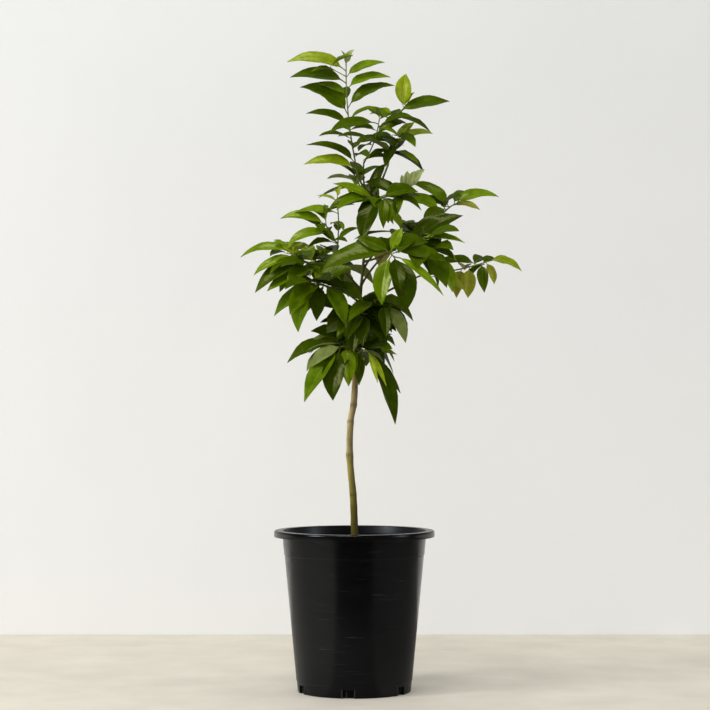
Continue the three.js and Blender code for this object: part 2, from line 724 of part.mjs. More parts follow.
function growBoughs() {
  for (const [name, bough] of Object.entries(boughs)) {
    const limb = bowedLimb(limbs[bough.on], bough.along, bough.tip, bough.bow, bough.wide, boughStep);
    const solid = largestPiece(limbSolid(limb, boughSides).subtract(parentGuards[bough.on]));
    limbs[name] = limb;
    parentGuards[name] = limbSolid(limb, boughSides, clearance);
    hardSolids.push(solid);
    addMesh(name, solid, 0x6f7a3c, 0.75);
  }
}

// The stems and twigs of one mass, the first of them cut clear of the limb that carries it
function growTwigs(mass, massIndex) {
  const shoots = [];
  mass.shoots.forEach((plan, shootIndex) => {
    const isFirst = shootIndex === 0;
    const parent = isFirst ? limbs[mass.on] : shoots[plan.on].limb;
    const limb = bowedLimb(parent, isFirst ? mass.along : plan.along, plan.tip, plan.bow, plan.wide, twigStep);
    const whole = limbSolid(limb, twigSides);
    const solid = isFirst ? largestPiece(whole.subtract(parentGuards[mass.on])) : whole;
    shoots.push({ ...plan, limb, solid, lean: mass.lean, seed: massIndex * 10 + shootIndex });
  });
  return shoots;
}

function leafFits(leaf, mass, grownMasses) {
  if (leaf.tip.distanceTo(mass.foot) > mass.reach) {
    return false;
  }
  if (hardSolids.some((solid) => meets(leaf.guard, solid))) {
    return false;
  }
  for (const other of grownMasses) {
    const isOwn = other === mass;
    const probe = isOwn ? leaf.ownGuard : leaf.guard;
    const twigs = other.twigs.filter((twig) => twig !== leaf.shoot);
    if (twigs.some((twig) => meets(probe, twig.solid)) || other.leaves.some((solid) => meets(probe, solid))) {
      return false;
    }
  }
  return true;
}

function growLeaves(mass, grownMasses) {
  for (const shoot of mass.twigs) {
    shoot.turn.forEach((_, index) => {
      for (let attempt = 0; attempt < leafAttempts; attempt += 1) {
        const leaf = growLeaf(shoot, index, attempt);
        if (leafFits(leaf, mass, grownMasses)) {
          mass.leaves.push(leaf.solid);
          return;
        }
      }
    });
  }
}

function growMasses() {
  const grownMasses = Object.entries(masses).map(([name, mass], massIndex) => ({
    name,
    tint: mass.tint,
    reach: mass.reach,
    foot: limbs[mass.on].pointAt(mass.along),
    twigs: growTwigs(mass, massIndex),
    leaves: [],
  }));
  for (const mass of grownMasses) {
    growLeaves(mass, grownMasses);
  }
  for (const mass of grownMasses) {
    const twigs = mass.twigs.map((twig) => twig.solid);
    const fused = [...twigs, ...mass.leaves].reduce((whole, solid) => whole.add(solid));
    addMesh(mass.name, largestPiece(fused), mass.tint, 0.5);
  }
}

growPot();
growTrunk();
growBoughs();
growMasses();

export default plant;
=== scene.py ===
# A young potted tangelo tree: the looks of its pot, potting mix, bark, twigs and leaves.
# Lengths are millimetres until a mesh is made, and metres from there on, in the frame of the solids.
import json
import math

import bmesh
import bpy
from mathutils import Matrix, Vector, noise
from mathutils.kdtree import KDTree


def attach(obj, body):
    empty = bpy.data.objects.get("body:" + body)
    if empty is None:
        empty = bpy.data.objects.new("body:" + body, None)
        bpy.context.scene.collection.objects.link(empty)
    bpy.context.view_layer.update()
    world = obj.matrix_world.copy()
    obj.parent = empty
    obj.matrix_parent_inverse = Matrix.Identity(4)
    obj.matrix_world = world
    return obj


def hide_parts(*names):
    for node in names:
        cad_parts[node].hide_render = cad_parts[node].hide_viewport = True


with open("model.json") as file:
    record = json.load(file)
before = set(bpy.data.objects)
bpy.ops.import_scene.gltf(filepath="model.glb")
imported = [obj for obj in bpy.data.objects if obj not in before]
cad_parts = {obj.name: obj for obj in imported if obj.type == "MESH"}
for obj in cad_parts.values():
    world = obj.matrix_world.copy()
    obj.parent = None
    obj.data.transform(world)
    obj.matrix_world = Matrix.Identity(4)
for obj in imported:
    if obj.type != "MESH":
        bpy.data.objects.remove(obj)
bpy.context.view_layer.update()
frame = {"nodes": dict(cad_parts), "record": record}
metre = 0.001
print("stage: frame loaded", len(frame["nodes"]), "solids")


# Small tools for meshes and objects

def linear(red, green, blue):
    # A colour as seen on a screen, 0 to 255, as the shader's linear values
    return tuple((level / 255) ** 2.2 for level in (red, green, blue)) + (1,)


def way(degrees):
    # The level direction at an angle from the X axis
    return Vector((math.cos(math.radians(degrees)), math.sin(math.radians(degrees)), 0))


def curved(start, bend, end, steps):
    # Shares and points along a curve between two places, which bends towards a third
    for step in range(steps + 1):
        share = step / steps
        yield share, start * (1 - share) ** 2 + bend * 2 * share * (1 - share) + end * share ** 2


def addObject(name, data):
    made = bpy.data.objects.new(name, data)
    bpy.context.scene.collection.objects.link(made)
    return made


def meshOf(name, work):
    # Turns the working mesh into a mesh of its own
    mesh = bpy.data.meshes.new(name)
    work.to_mesh(mesh)
    work.free()
    return mesh


def finishPiece(piece, slot, replaced=()):
    # Puts a finished mesh on the plant's one body, in place of its solids
    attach(piece, "root")
    if replaced:
        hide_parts(*replaced)
    print("piece:", piece.name, len(piece.data.polygons), "faces")


def plainMesh(worker, name):
    # The evaluated result of an object's modifiers as a plain mesh object of its own, faces outwards
    graph = bpy.context.evaluated_depsgraph_get()
    mesh = bpy.data.meshes.new_from_object(worker.evaluated_get(graph))
    bpy.data.objects.remove(worker)
    work = bmesh.new()
    work.from_mesh(mesh)
    if work.calc_volume(signed=True) < 0:
        bmesh.ops.reverse_faces(work, faces=work.faces)
    work.to_mesh(mesh)
    work.free()
    return addObject(name, mesh)


def runTree(worker, tree, inputs):
    # Adds a Geometry Nodes modifier and sets its named inputs by the sockets' identifiers
    modifier = worker.modifiers.new(tree.name, "NODES")
    modifier.node_group = tree
    for item in tree.interface.items_tree:
        if item.item_type == "SOCKET" and item.in_out == "INPUT" and item.name in inputs:
            modifier[item.identifier] = inputs[item.name]
    return worker


# Small tools for node trees; each value may be a number, a colour or a socket to link from

def fillInputs(tree, node, inputs):
    for socket, value in inputs.items():
        if isinstance(value, bpy.types.NodeSocket):
            tree.links.new(value, node.inputs[socket])
        else:
            node.inputs[socket].default_value = value


def addNode(tree, kind, inputs=(), **settings):
    made = tree.nodes.new(kind)
    for name, value in settings.items():
        setattr(made, name, value)
    fillInputs(tree, made, dict(inputs))
    return made


def maths(tree, operation, *values):
    return addNode(tree, "ShaderNodeMath", dict(enumerate(values)), operation=operation).outputs[0]


def multiplied(tree, first, second):
    return maths(tree, "MULTIPLY", first, second)


def ranged(tree, value, span, **settings):
    # A value taken from one span to another: low, high, and what each becomes
    return addNode(tree, "ShaderNodeMapRange", {0: value, **dict(enumerate(span, 1))}, **settings).outputs[0]


def mixed(tree, share, first, second, **settings):
    # A colour between two others
    colours = {0: share, 6: first, 7: second}
    return addNode(tree, "ShaderNodeMix", colours, data_type="RGBA", **settings).outputs[2]


def between(tree, share, first, second):
    # A number between two others
    return addNode(tree, "ShaderNodeMix", {0: share, 2: first, 3: second}).outputs[0]


def stretched(tree, vector, factors):
    return addNode(tree, "ShaderNodeVectorMath", {0: vector, 1: factors}, operation="MULTIPLY").outputs[0]


def scaled(tree, vector, factor):
    return addNode(tree, "ShaderNodeVectorMath", {0: vector, "Scale": factor}, operation="SCALE").outputs[0]


def parts(tree, vector):
    return addNode(tree, "ShaderNodeSeparateXYZ", {0: vector}).outputs


def objectPlace(tree):
    return addNode(tree, "ShaderNodeTexCoord").outputs["Object"]


def cloud(tree, where, scale, detail):
    return addNode(tree, "ShaderNodeTexNoise", {0: where, "Scale": scale, "Detail": detail}).outputs["Fac"]


def newGroup(name, kind, inputs, outputs):
    # A node group with named sockets: its tree, its inputs, and its output node
    tree = bpy.data.node_groups.new(name, kind)
    for socket, (socketKind, value) in inputs.items():
        made = tree.interface.new_socket(socket, in_out="INPUT", socket_type="NodeSocket" + socketKind)
        if value is not None:
            made.default_value = value
    for socket, socketKind in outputs.items():
        tree.interface.new_socket(socket, in_out="OUTPUT", socket_type="NodeSocket" + socketKind)
    return tree, tree.nodes.new("NodeGroupInput").outputs, tree.nodes.new("NodeGroupOutput")


def closeGroup(tree, out, results):
    fillInputs(tree, out, results)
    return tree


def newShaping(name, inputs):
    # A Geometry Nodes tree that takes a mesh and a material beside its own named inputs
    return newGroup(name, "GeometryNodeTree", {
        "Geometry": ("Geometry", None), **inputs, "Material": ("Material", None),
    }, {"Geometry": "Geometry"})


def closeShaping(tree, given, out, geometry):
    # Every shaping tree ends the same way, because an export drops instances
    real = addNode(tree, "GeometryNodeRealizeInstances", {0: geometry}).outputs[0]
    painted = addNode(tree, "GeometryNodeSetMaterial", {0: real, "Material": given["Material"]}).outputs[0]
    return closeGroup(tree, out, {"Geometry": painted})


def placeGroup(tree, group, inputs):
    return addNode(tree, "ShaderNodeGroup", inputs, node_tree=group).outputs


def newMaterial(name):
    # An empty material and its tree
    material = bpy.data.materials.new(name)
    material.use_nodes = True
    return material, material.node_tree


def closeMaterial(material, height, deep, colour, roughness, shine=0.5, tint=(1, 1, 1, 1)):
    # Ties a surface's relief, colour, roughness and shine to its shader; deep is in millimetres
    tree = material.node_tree
    bump = addNode(tree, "ShaderNodeBump", {"Height": height, "Distance": deep * metre, "Strength": 1.0})
    fillInputs(tree, tree.nodes["Principled BSDF"], {
        "Base Color": colour, "Roughness": roughness, "Normal": bump.outputs[0],
        "Specular IOR Level": shine, "Specular Tint": tint,
    })
    return material


# Camera and studio

# The eye, the lens and the sensor in millimetres, and how far the camera looks up in degrees
view = {"eye": (1.1, -3409, 476), "lens": 109.0, "sensor": 36, "tilt": 0.93}

# Sizes and places in metres
studio = {
    "floorSize": 16, "wallDistance": 0.786, "wallHeight": 7,
    "floorColour": linear(238, 231, 214),
    # Painted light: the wall's foot colour is paler to make up for the light the wall lacks near the floor
    "wallColour": linear(236, 237, 238), "wallPaintedLight": linear(252, 252, 252),
    "paintedLightFades": (0.0, 1.1, 0, 1), "rough": 0.75,
    "floorClouds": (9, 0.88), "wallClouds": (2.2, 0.97), "cloudSpan": (0.3, 0.7), "cloudDetail": 6,
    "airSeen": 0.85, "airDiffuse": 0.63, "airGloss": 0.03,
    "lamps": (
        ("windowLeft", (-2.7, -1.5, 2.1), (0.9, 1.8), 47),
        ("skyAbove", (-0.4, -1.5, 3.1), (1.2, 0.7), 20),
        ("fillRight", (3.1, -1.0, 1.3), (0.8, 1.7), 13),
    ),
    "aim": (0, 0, 0.55),
}

# What the pot and the leaves mirror, a painted reflection: each span runs from one place to another, in
# metres, and says how bright the wall or the floor looks at both ends
mirrored = {
    "wallByHeight": (0.3, 0.7, 0.85, 0.12), "floorBeside": (0.5, 0.64, 0, 1),
    "floorAhead": (0.4, 0.5, 0.52, 0), "floorAcross": (-0.25, 0.3, 0.6, 0.24),
    "floorByReach": (0.1, 1.2, 0.9, 0.55), "leastAhead": 0.01,
}


def buildCamera():
    camera = addObject("photoView", bpy.data.cameras.new("photoView"))
    camera.location = Vector(view["eye"]) * metre
    camera.rotation_euler = (math.radians(90 + view["tilt"]), 0, 0)
    camera.data.lens = view["lens"]
    camera.data.sensor_width = view["sensor"]
    bpy.context.scene.camera = camera


def mirroredFloor(tree, where):
    # The floor as glossy rays see it, a painted reflection: lighter on the left, and dark in a wedge that
    # opens out in front of the pot
    spot = parts(tree, where)
    ahead = multiplied(tree, spot["Y"], -1.0)
    least = maths(tree, "MAXIMUM", ahead, mirrored["leastAhead"])
    spread = maths(tree, "DIVIDE", maths(tree, "ABSOLUTE", spot["X"]), least)
    beside = ranged(tree, spread, mirrored["floorBeside"])
    lit = maths(tree, "MAXIMUM", beside, ranged(tree, ahead, mirrored["floorAhead"]))
    reach = addNode(tree, "ShaderNodeVectorMath", {0: where}, operation="LENGTH").outputs["Value"]
    level = multiplied(tree, lit, ranged(tree, spot["X"], mirrored["floorAcross"]))
    return multiplied(tree, level, ranged(tree, reach, mirrored["floorByReach"]))


def stageMaterial(name, isFloor):
    # Clouded plaster; the wall is painted paler near the floor as painted light, and glossy rays see both
    # sheets dimmed as a painted reflection; the wall is seen from the front only
    material, tree = newMaterial(name)
    shader = tree.nodes["Principled BSDF"]
    where = objectPlace(tree)
    height = parts(tree, where)["Z"]
    colour = studio["floorColour" if isFloor else "wallColour"]
    foot = studio["floorColour" if isFloor else "wallPaintedLight"]
    # Painted light: the wall's colour turns paler towards the floor
    plain = mixed(tree, ranged(tree, height, studio["paintedLightFades"]), foot, colour)
    scale, least = studio["floorClouds" if isFloor else "wallClouds"]
    clouds = cloud(tree, where, scale, studio["cloudDetail"])
    shade = ranged(tree, clouds, (*studio["cloudSpan"], least, 1))
    paintedReflection = mirroredFloor(tree, where) if isFloor else ranged(tree, height, mirrored["wallByHeight"])
    # Painted reflection: glossy rays see the wall dimmed with height and the floor lit and darkened as above
    ray = addNode(tree, "ShaderNodeLightPath").outputs["Is Glossy Ray"]
    level = between(tree, ray, shade, paintedReflection)
    fillInputs(tree, shader, {"Base Color": scaled(tree, plain, level), "Roughness": studio["rough"]})
    if not isFloor:
        clear = addNode(tree, "ShaderNodeBsdfTransparent").outputs[0]
        turned = addNode(tree, "ShaderNodeNewGeometry").outputs["Backfacing"]
        both = addNode(tree, "ShaderNodeMixShader", {0: turned, 1: shader.outputs[0], 2: clear}).outputs[0]
        fillInputs(tree, tree.nodes["Material Output"], {"Surface": both})
    return material


def buildSheets():
    half = studio["floorSize"] / 2
    back = studio["wallDistance"]
    top = studio["wallHeight"]
    sheets = {
        "studioFloor": [(-half, -half, 0), (half, -half, 0), (half, half, 0), (-half, half, 0)],
        "studioWall": [(-half, back, 0), (half, back, 0), (half, back, top), (-half, back, top)],
    }
    for name, corners in sheets.items():
        mesh = bpy.data.meshes.new(name)
        mesh.from_pydata(corners, [], [(0, 1, 2, 3)])
        mesh.materials.append(stageMaterial(name, name == "studioFloor"))
        addObject(name, mesh)


def buildLamps():
    for name, spot, size, power in studio["lamps"]:
        lamp = bpy.data.lights.new(name, "AREA")
        lamp.shape = "RECTANGLE"
        lamp.size, lamp.size_y = size
        lamp.energy = power
        holder = addObject(name, lamp)
        holder.location = spot
        holder.rotation_euler = (Vector(studio["aim"]) - holder.location).to_track_quat("-Z", "Y").to_euler()


def buildAir():
    # Soft light from all around, which shows bright to the camera and dark in what is glossy
    world = bpy.data.worlds.new("studioAir")
    world.use_nodes = True
    tree = world.node_tree
    ray = addNode(tree, "ShaderNodeLightPath").outputs
    calm = between(tree, ray["Is Glossy Ray"], studio["airDiffuse"], studio["airGloss"])
    level = between(tree, ray["Is Camera Ray"], calm, studio["airSeen"])
    fillInputs(tree, tree.nodes["Background"], {"Color": studio["wallColour"], "Strength": level})
    bpy.context.scene.world = world
    bpy.context.scene.view_settings.view_transform = "Standard"


def buildStudio():
    buildSheets()
    buildLamps()
    buildAir()


# Shader groups that several materials use

# The span of a noise's values that shows, the detail of each noise, and how coarse the broad one is
noises = {"span": (0.3, 0.7), "mottleDetail": 4, "fineDetail": 6, "broadDetail": 3, "broadShare": 0.12}


def buildMottle():
    # Two colours clouded into each other, stretched along one way
    tree, given, out = newGroup("mottle", "ShaderNodeTree", {
        "Light": ("Color", (1, 1, 1, 1)), "Shade": ("Color", (0, 0, 0, 1)),
        "Stretch": ("Vector", (1, 1, 1)), "Scale": ("Float", 10.0), "Amount": ("Float", 1.0),
    }, {"Color": "Color"})
    where = stretched(tree, objectPlace(tree), given["Stretch"])
    clouds = cloud(tree, where, given["Scale"], noises["mottleDetail"])
    share = multiplied(tree, ranged(tree, clouds, (*noises["span"], 0, 1)), given["Amount"])
    return closeGroup(tree, out, {"Color": mixed(tree, share, given["Light"], given["Shade"])})


def buildFineSkin():
    # Fine grain for a bump, and the roughness that goes with it
    tree, given, out = newGroup("fineSkin", "ShaderNodeTree", {
        "Stretch": ("Vector", (1, 1, 1)), "Scale": ("Float", 200.0),
        "Smooth": ("Float", 0.3), "Rough": ("Float", 0.5),
    }, {"Height": "Float", "Roughness": "Float"})
    where = stretched(tree, objectPlace(tree), given["Stretch"])
    coarse = multiplied(tree, given["Scale"], noises["broadShare"])
    broad = cloud(tree, where, coarse, noises["broadDetail"])
    return closeGroup(tree, out, {
        "Roughness": ranged(tree, broad, (*noises["span"], given["Smooth"], given["Rough"])),
        "Height": cloud(tree, where, given["Scale"], noises["fineDetail"]),
    })


mottle = buildMottle()
fineSkin = buildFineSkin()


# Pot: the solid's own sizes, with its edges rounded and its slots framed

pot = {
    "height": 254, "rimRadius": 127, "rimSkirt": 10, "wallTopRadius": 113, "baseRadius": 90,
    "wallThickness": 2, "floorThickness": 2.5, "wallStep": 0.7, "footHeight": 17, "shoulderHeight": 215,
    "middleHeight": 120, "sides": 192, "cornerSteps": 5, "cornerShare": 0.48, "sharpFrom": 32,
    # The underside's raised middle and its two standing rings: radii and heights
    "underside": ((26, 0.6), (27, 0), (60, 0), (61, 0.6), (74, 0.6), (75, 0)), "middleRise": 0.6,
    # How far each edge is rounded, how far from a step its radii are read, and how wide the rim's lip is
    "fineRound": 0.3, "stepEdge": 0.1, "footRound": 1.5, "underRimRounds": (1.2, 0.8, 0.5), "skirtRound": 0.9,
    "rimRound": 3.4, "lipRound": 1.6, "lip": 0.6, "insideRounds": (1, 0.5, 1),
    "slotCount": 6, "slotTurn": -6, "slotWidth": 18, "slotHeight": 13, "slotDepth": 16,
    "frameWide": 1.6, "frameProud": 0.8, "frameSunk": 1.2, "frameEdge": 0.25, "frameFoot": 0.4,
    # The rib and the bar in each slot: lowest and highest corner, with the depth behind the wall
    "slotRib": ((-3.6, 2.2, 0.2), (-2.2, 5.5, 13)), "slotBar": ((-2.2, 3.2, 6.2), (5.6, 4.6, 7.6)),
    "innerFrom": 200, "innerSteep": 0.5, "coolShine": (0.84, 0.9, 1, 1), "shine": 0.5,
    "relief": 0.04, "streakStretch": (1, 1, 30), "streakScale": 17, "streakDetail": 5,
    "grain": {"Stretch": (1, 1, 3), "Scale": 160},
    "clouds": {"Stretch": (1, 1, 5), "Scale": 14, "Amount": 0.8},
    "scratches": (0.62, 0.72, 0, 0.6), "scratchColour": (0.03, 0.03, 0.03, 1),
    # The grey of each plastic where it is light and in its clouds, and how rough it is
    "blackPlastic": (0.0034, 0.0024, 0.16, 0.26),
    "innerPlastic": (0.0034, 0.0024, 0.34, 0.44),
    # The slot frames are the same black plastic as the pot: their lighter grey is a painted highlight on
    # edges that catch the light
    "frameHighlightPlastic": (0.05, 0.012, 0.3, 0.45),
}


def wallRadius(height):
    reach = pot["height"] - pot["rimSkirt"]
    grown = pot["baseRadius"] + (pot["wallTopRadius"] - pot["baseRadius"]) * height / reach
    below = pot["wallStep"] if height < pot["footHeight"] else 0
    above = pot["wallStep"] if height > pot["shoulderHeight"] else 0
    return grown - below + above


def innerRadius(height):
    return wallRadius(height) - pot["wallThickness"] - (0 if height < pot["footHeight"] else pot["wallStep"])


def potOutline():
    # Corners of the turned shape as radius, height and rounding, from the underside to the floor inside
    top, thick, step = pot["height"], pot["wallThickness"], pot["wallStep"]
    foot, middle, shoulder = pot["footHeight"], pot["middleHeight"], pot["shoulderHeight"]
    rim, inner, floor = pot["rimRadius"], pot["wallTopRadius"], pot["floorThickness"]
    skirt = top - pot["rimSkirt"]
    fine, edge = pot["fineRound"], pot["stepEdge"]
    nearWall, nearRim, nearSkirt = pot["underRimRounds"]
    high, low, lowest = pot["insideRounds"]
    return [
        (0, pot["middleRise"], 0), *((radius, height, fine) for radius, height in pot["underside"]),
        (wallRadius(0), 0, pot["footRound"]), (wallRadius(foot - edge), foot, fine),
        (wallRadius(foot + edge), foot + step, fine), (wallRadius(middle), middle, 0),
        (wallRadius(shoulder), shoulder, fine), (wallRadius(shoulder + edge), shoulder + step, fine),
        (wallRadius(skirt), skirt, 0), (inner + thick, top - thick, nearWall),
        (rim - thick, top - thick, nearRim), (rim - thick, skirt, nearSkirt),
        (rim, skirt, pot["skirtRound"]), (rim, top, pot["rimRound"]),
        (inner + pot["lip"], top, pot["lipRound"]), (innerRadius(skirt), skirt - thick, high),
        (innerRadius(middle), middle, 0), (innerRadius(foot), foot, low), (innerRadius(0), floor, lowest),
        (0, floor, 0),
    ]


def roundedOutline(corners):
    # Each corner with a rounding becomes a short curve between its two edges
    points = []
    most = pot["cornerShare"]
    for index, (radius, height, rounding) in enumerate(corners):
        corner = Vector((radius, height))
        if rounding == 0:
            points.append(corner)
            continue
        before = Vector(corners[index - 1][:2]) - corner
        after = Vector(corners[(index + 1) % len(corners)][:2]) - corner
        start = corner + before.normalized() * min(rounding, before.length * most)
        end = corner + after.normalized() * min(rounding, after.length * most)
        points += [point for share, point in curved(start, corner, end, pot["cornerSteps"])]
    return points


def turnedMesh(name, outline, sides, shift=None):
    # A closed shape turned about the pot's axis from an outline that starts and ends on it
    work = bmesh.new()
    first = work.verts.new((0, 0, outline[0].y * metre))
    last = work.verts.new((0, 0, outline[-1].y * metre))
    rings = []
    for point in outline[1:-1]:
        ring = []
        for side in range(sides):
            turn = side * 2 * math.pi / sides
            spot = Vector((point.x * math.cos(turn), point.x * math.sin(turn), point.y))
            ring.append(work.verts.new((shift(spot) if shift else spot) * metre))
        rings.append(ring)
    for side in range(sides):
        after = (side + 1) % sides
        work.faces.new((first, rings[0][after], rings[0][side]))
        work.faces.new((last, rings[-1][side], rings[-1][after]))
        for low, high in zip(rings, rings[1:]):
            work.faces.new((low[side], low[after], high[after], high[side]))
    bmesh.ops.recalc_face_normals(work, faces=work.faces)
    return meshOf(name, work)


def boxMesh(name, boxes):
    # Closed boxes, each from its lowest to its highest corner
    work = bmesh.new()
    for low, high in boxes:
        made = bmesh.ops.create_cube(work, size=1)["verts"]
        bmesh.ops.scale(work, vec=(Vector(high) - Vector(low)) * metre, verts=made)
        bmesh.ops.translate(work, vec=(Vector(high) + Vector(low)) / 2 * metre, verts=made)
    return meshOf(name, work)


def buildRoundTree():
    # Copies a piece a number of times round the upright axis
    tree, given, out = newShaping("aroundAxis", {"Count": ("Int", 6), "Turn": ("Float", 0.0)})
    spots = addNode(tree, "GeometryNodeMeshLine", {"Count": given["Count"], "Offset": (0, 0, 0)}).outputs[0]
    index = addNode(tree, "GeometryNodeInputIndex").outputs[0]
    step = maths(tree, "DIVIDE", math.tau, given["Count"])
    turned = maths(tree, "MULTIPLY_ADD", index, step, given["Turn"])
    angle = addNode(tree, "ShaderNodeCombineXYZ", {"Z": turned}).outputs[0]
    return closeShaping(tree, given, out, addNode(tree, "GeometryNodeInstanceOnPoints", {
        "Points": spots, "Instance": given["Geometry"], "Rotation": angle,
    }).outputs[0])


def potMaterial(name):
    # Moulded plastic with a fine grain, faint clouds and level scratches
    material, tree = newMaterial(name)
    light, shade, smooth, rough = pot[name]
    skin = placeGroup(tree, fineSkin, {"Smooth": smooth, "Rough": rough, **pot["grain"]})
    tint = placeGroup(tree, mottle, {
        "Light": (light, light, light, 1), "Shade": (shade, shade, shade, 1), **pot["clouds"],
    })["Color"]
    where = stretched(tree, objectPlace(tree), pot["streakStretch"])
    streaks = cloud(tree, where, pot["streakScale"], pot["streakDetail"])
    worn = mixed(tree, ranged(tree, streaks, pot["scratches"]), tint, pot["scratchColour"])
    return closeMaterial(material, skin["Height"], pot["relief"], worn, skin["Roughness"],
                         shine=pot["shine"], tint=pot["coolShine"])


def buildShell(around, turns):
    # The turned wall with its slots cut out; the inside above the mix is duller
    half, tall, deep = pot["slotWidth"] / 2, pot["slotHeight"], pot["slotDepth"] / 2
    front = pot["baseRadius"]
    body = addObject("potWall", turnedMesh("potWall", roundedOutline(potOutline()), pot["sides"]))
    slot = boxMesh("slotCutter", [((-half, -front - deep, -tall), (half, -front + deep, tall))])
    cutters = plainMesh(runTree(addObject("slotCutter", slot), around, turns), "slotCutters")
    cut = body.modifiers.new("slots", "BOOLEAN")
    cut.object = cutters
    cut.operation = "DIFFERENCE"
    cut.solver = "EXACT"
    shell = plainMesh(body, "potShell")
    bpy.data.objects.remove(cutters)
    shell.data.materials.clear()
    shell.data.materials.append(potMaterial("blackPlastic"))
    shell.data.materials.append(potMaterial("innerPlastic"))
    for face in shell.data.polygons:
        isOutside = face.center.xy.dot(face.normal.xy) > 0
        isHigh = face.center.z > pot["innerFrom"] * metre
        if isHigh and not isOutside and abs(face.normal.z) < pot["innerSteep"]:
            face.material_index = 1
    shell.data.shade_smooth()
    shell.data.set_sharp_from_angle(angle=math.radians(pot["sharpFrom"]))
    finishPiece(shell, "pot_plastic", ["pot"])


def buildSlotFrames(around, turns):
    # A frame of three bars round each slot, and inside it a short rib with a bar across
    half, tall, wide = pot["slotWidth"] / 2, pot["slotHeight"], pot["frameWide"]
    face = -wallRadius(0)
    proud, sunk, foot = face - pot["frameProud"], face + pot["frameSunk"], pot["frameFoot"]
    boxes = [
        ((-half - wide, proud, foot), (-half, sunk, tall + wide)),
        ((half, proud, foot), (half + wide, sunk, tall + wide)),
        ((-half, proud, tall), (half, sunk, tall + wide)),
    ]
    for corners in (pot["slotRib"], pot["slotBar"]):
        boxes.append([(across, face + deep, high) for across, deep, high in corners])
    # The frames' lighter plastic paints the highlight on their edges
    frames = runTree(addObject("slotFrame", boxMesh("slotFrame", boxes)), around,
                     {**turns, "Material": potMaterial("frameHighlightPlastic")})
    edge = frames.modifiers.new("softEdges", "BEVEL")
    edge.width = pot["frameEdge"] * metre
    edge.segments = 2
    finishPiece(plainMesh(frames, "slotFrames"), "pot_plastic")


def buildPot():
    around = buildRoundTree()
    turns = {"Count": pot["slotCount"], "Turn": math.radians(pot["slotTurn"])}
    buildShell(around, turns)
    buildSlotFrames(around, turns)


# Potting mix

soil = {
    "level": 222, "clearance": 0.3, "gap": 1, "flatRadius": 34, "dip": 4, "sides": 144, "rings": 46,
    "lumps": ((0.045, 1.4), (0.16, 0.7), (0.45, 0.35)), "lumpHeight": 2.2, "lumpsDownTo": 20,
    "shadedBelow": 40, "relief": 0.6, "crumbsFrom": 9, "crumbsAbove": 200, "crumbsLevel": 0.4,
    "crumbsTurn": (6.28, 6.28, 6.28), "mottleScale": 260, "grainScale": 900, "smoother": 0.1,
    # Each material: its two colours and its roughness
    "dampPeat": (linear(52, 40, 30), linear(28, 22, 17), 0.95),
    # Painted shade: the mix low in the pot, seen through the slots, is painted nearly black
    "shadedPeat": (linear(16, 14, 12), linear(6, 6, 6), 0.95),
    "barkCrumb": (linear(92, 66, 44), linear(46, 33, 23), 0.9),
    "perliteGrain": (linear(226, 222, 210), linear(190, 184, 168), 0.85),
    # Each scatter: its material, how many to a square metre, least and most size, flatness and seed
    "scattered": {
        "peatCrumbs": ("dampPeat", 34000, 0.9, 2.1, 0.8, 3),
        "barkCrumbs": ("barkCrumb", 10000, 1.3, 4.2, 0.42, 5),
        "perliteGrains": ("perliteGrain", 2600, 0.9, 2.1, 0.8, 9),
    },
}
soilSurface = soil["level"] - soil["clearance"]


def soilRadius(height):
    return innerRadius(height) - soil["gap"]


def soilTop(radius):
    # Height of the mix's surface, level round the trunk, lower further out and up again at the wall
    flat, dip = soil["flatRadius"], soil["dip"]
    middle = (innerRadius(soilSurface) + flat) / 2
    if radius < flat:
        return soilSurface
    if radius < middle:
        return soilSurface - dip * (radius - flat) / (middle - flat)
    return soilSurface - dip + dip / 2 * (radius - middle) / (soilRadius(soilSurface) - middle)


def lumpy(spot):
    # Rounded lumps on the surface, none on the sides or below
    if spot.z < soil["level"] - soil["lumpsDownTo"]:
        return spot
    level = Vector((spot.x, spot.y, 0))
    swell = sum(noise.noise(level * fine) * high for fine, high in soil["lumps"])
    return spot + Vector((0, 0, swell * soil["lumpHeight"]))


def buildScatterTree():
    # Crumbs scattered over a surface, each turned and sized at random, without the surface itself
    tree, given, out = newShaping("scatterCrumbs", {
        "Density": ("Float", 1000.0), "Least": ("Float", 0.001), "Most": ("Float", 0.003),
        "Flat": ("Float", 0.6), "Seed": ("Int", 1),
    })
    seed = given["Seed"]
    spots = addNode(tree, "GeometryNodeDistributePointsOnFaces", {
        "Mesh": given["Geometry"], "Density": given["Density"], "Seed": seed,
    }).outputs[0]
    crumb = addNode(tree, "GeometryNodeMeshIcoSphere", {"Radius": 1.0, "Subdivisions": 1}).outputs[0]
    spin = addNode(tree, "FunctionNodeRandomValue", {0: (0, 0, 0), 1: soil["crumbsTurn"], "Seed": seed},
                   data_type="FLOAT_VECTOR").outputs[0]
    size = addNode(tree, "FunctionNodeRandomValue", {2: given["Least"], 3: given["Most"], "Seed": seed},
                   data_type="FLOAT").outputs[1]
    thin = multiplied(tree, size, given["Flat"])
    scale = addNode(tree, "ShaderNodeCombineXYZ", {"X": size, "Y": thin, "Z": thin}).outputs[0]
    return closeShaping(tree, given, out, addNode(tree, "GeometryNodeInstanceOnPoints", {
        "Points": spots, "Instance": crumb, "Rotation": spin, "Scale": scale,
    }).outputs[0])


def soilMaterial(name):
    material, tree = newMaterial(name)
    light, shade, rough = soil[name]
    tint = placeGroup(tree, mottle, {
        "Light": light, "Shade": shade, "Scale": soil["mottleScale"], "Amount": 1,
    })["Color"]
    skin = placeGroup(tree, fineSkin, {
        "Scale": soil["grainScale"], "Smooth": rough - soil["smoother"], "Rough": rough,
    })
    return closeMaterial(material, skin["Height"], soil["relief"], tint, skin["Roughness"])


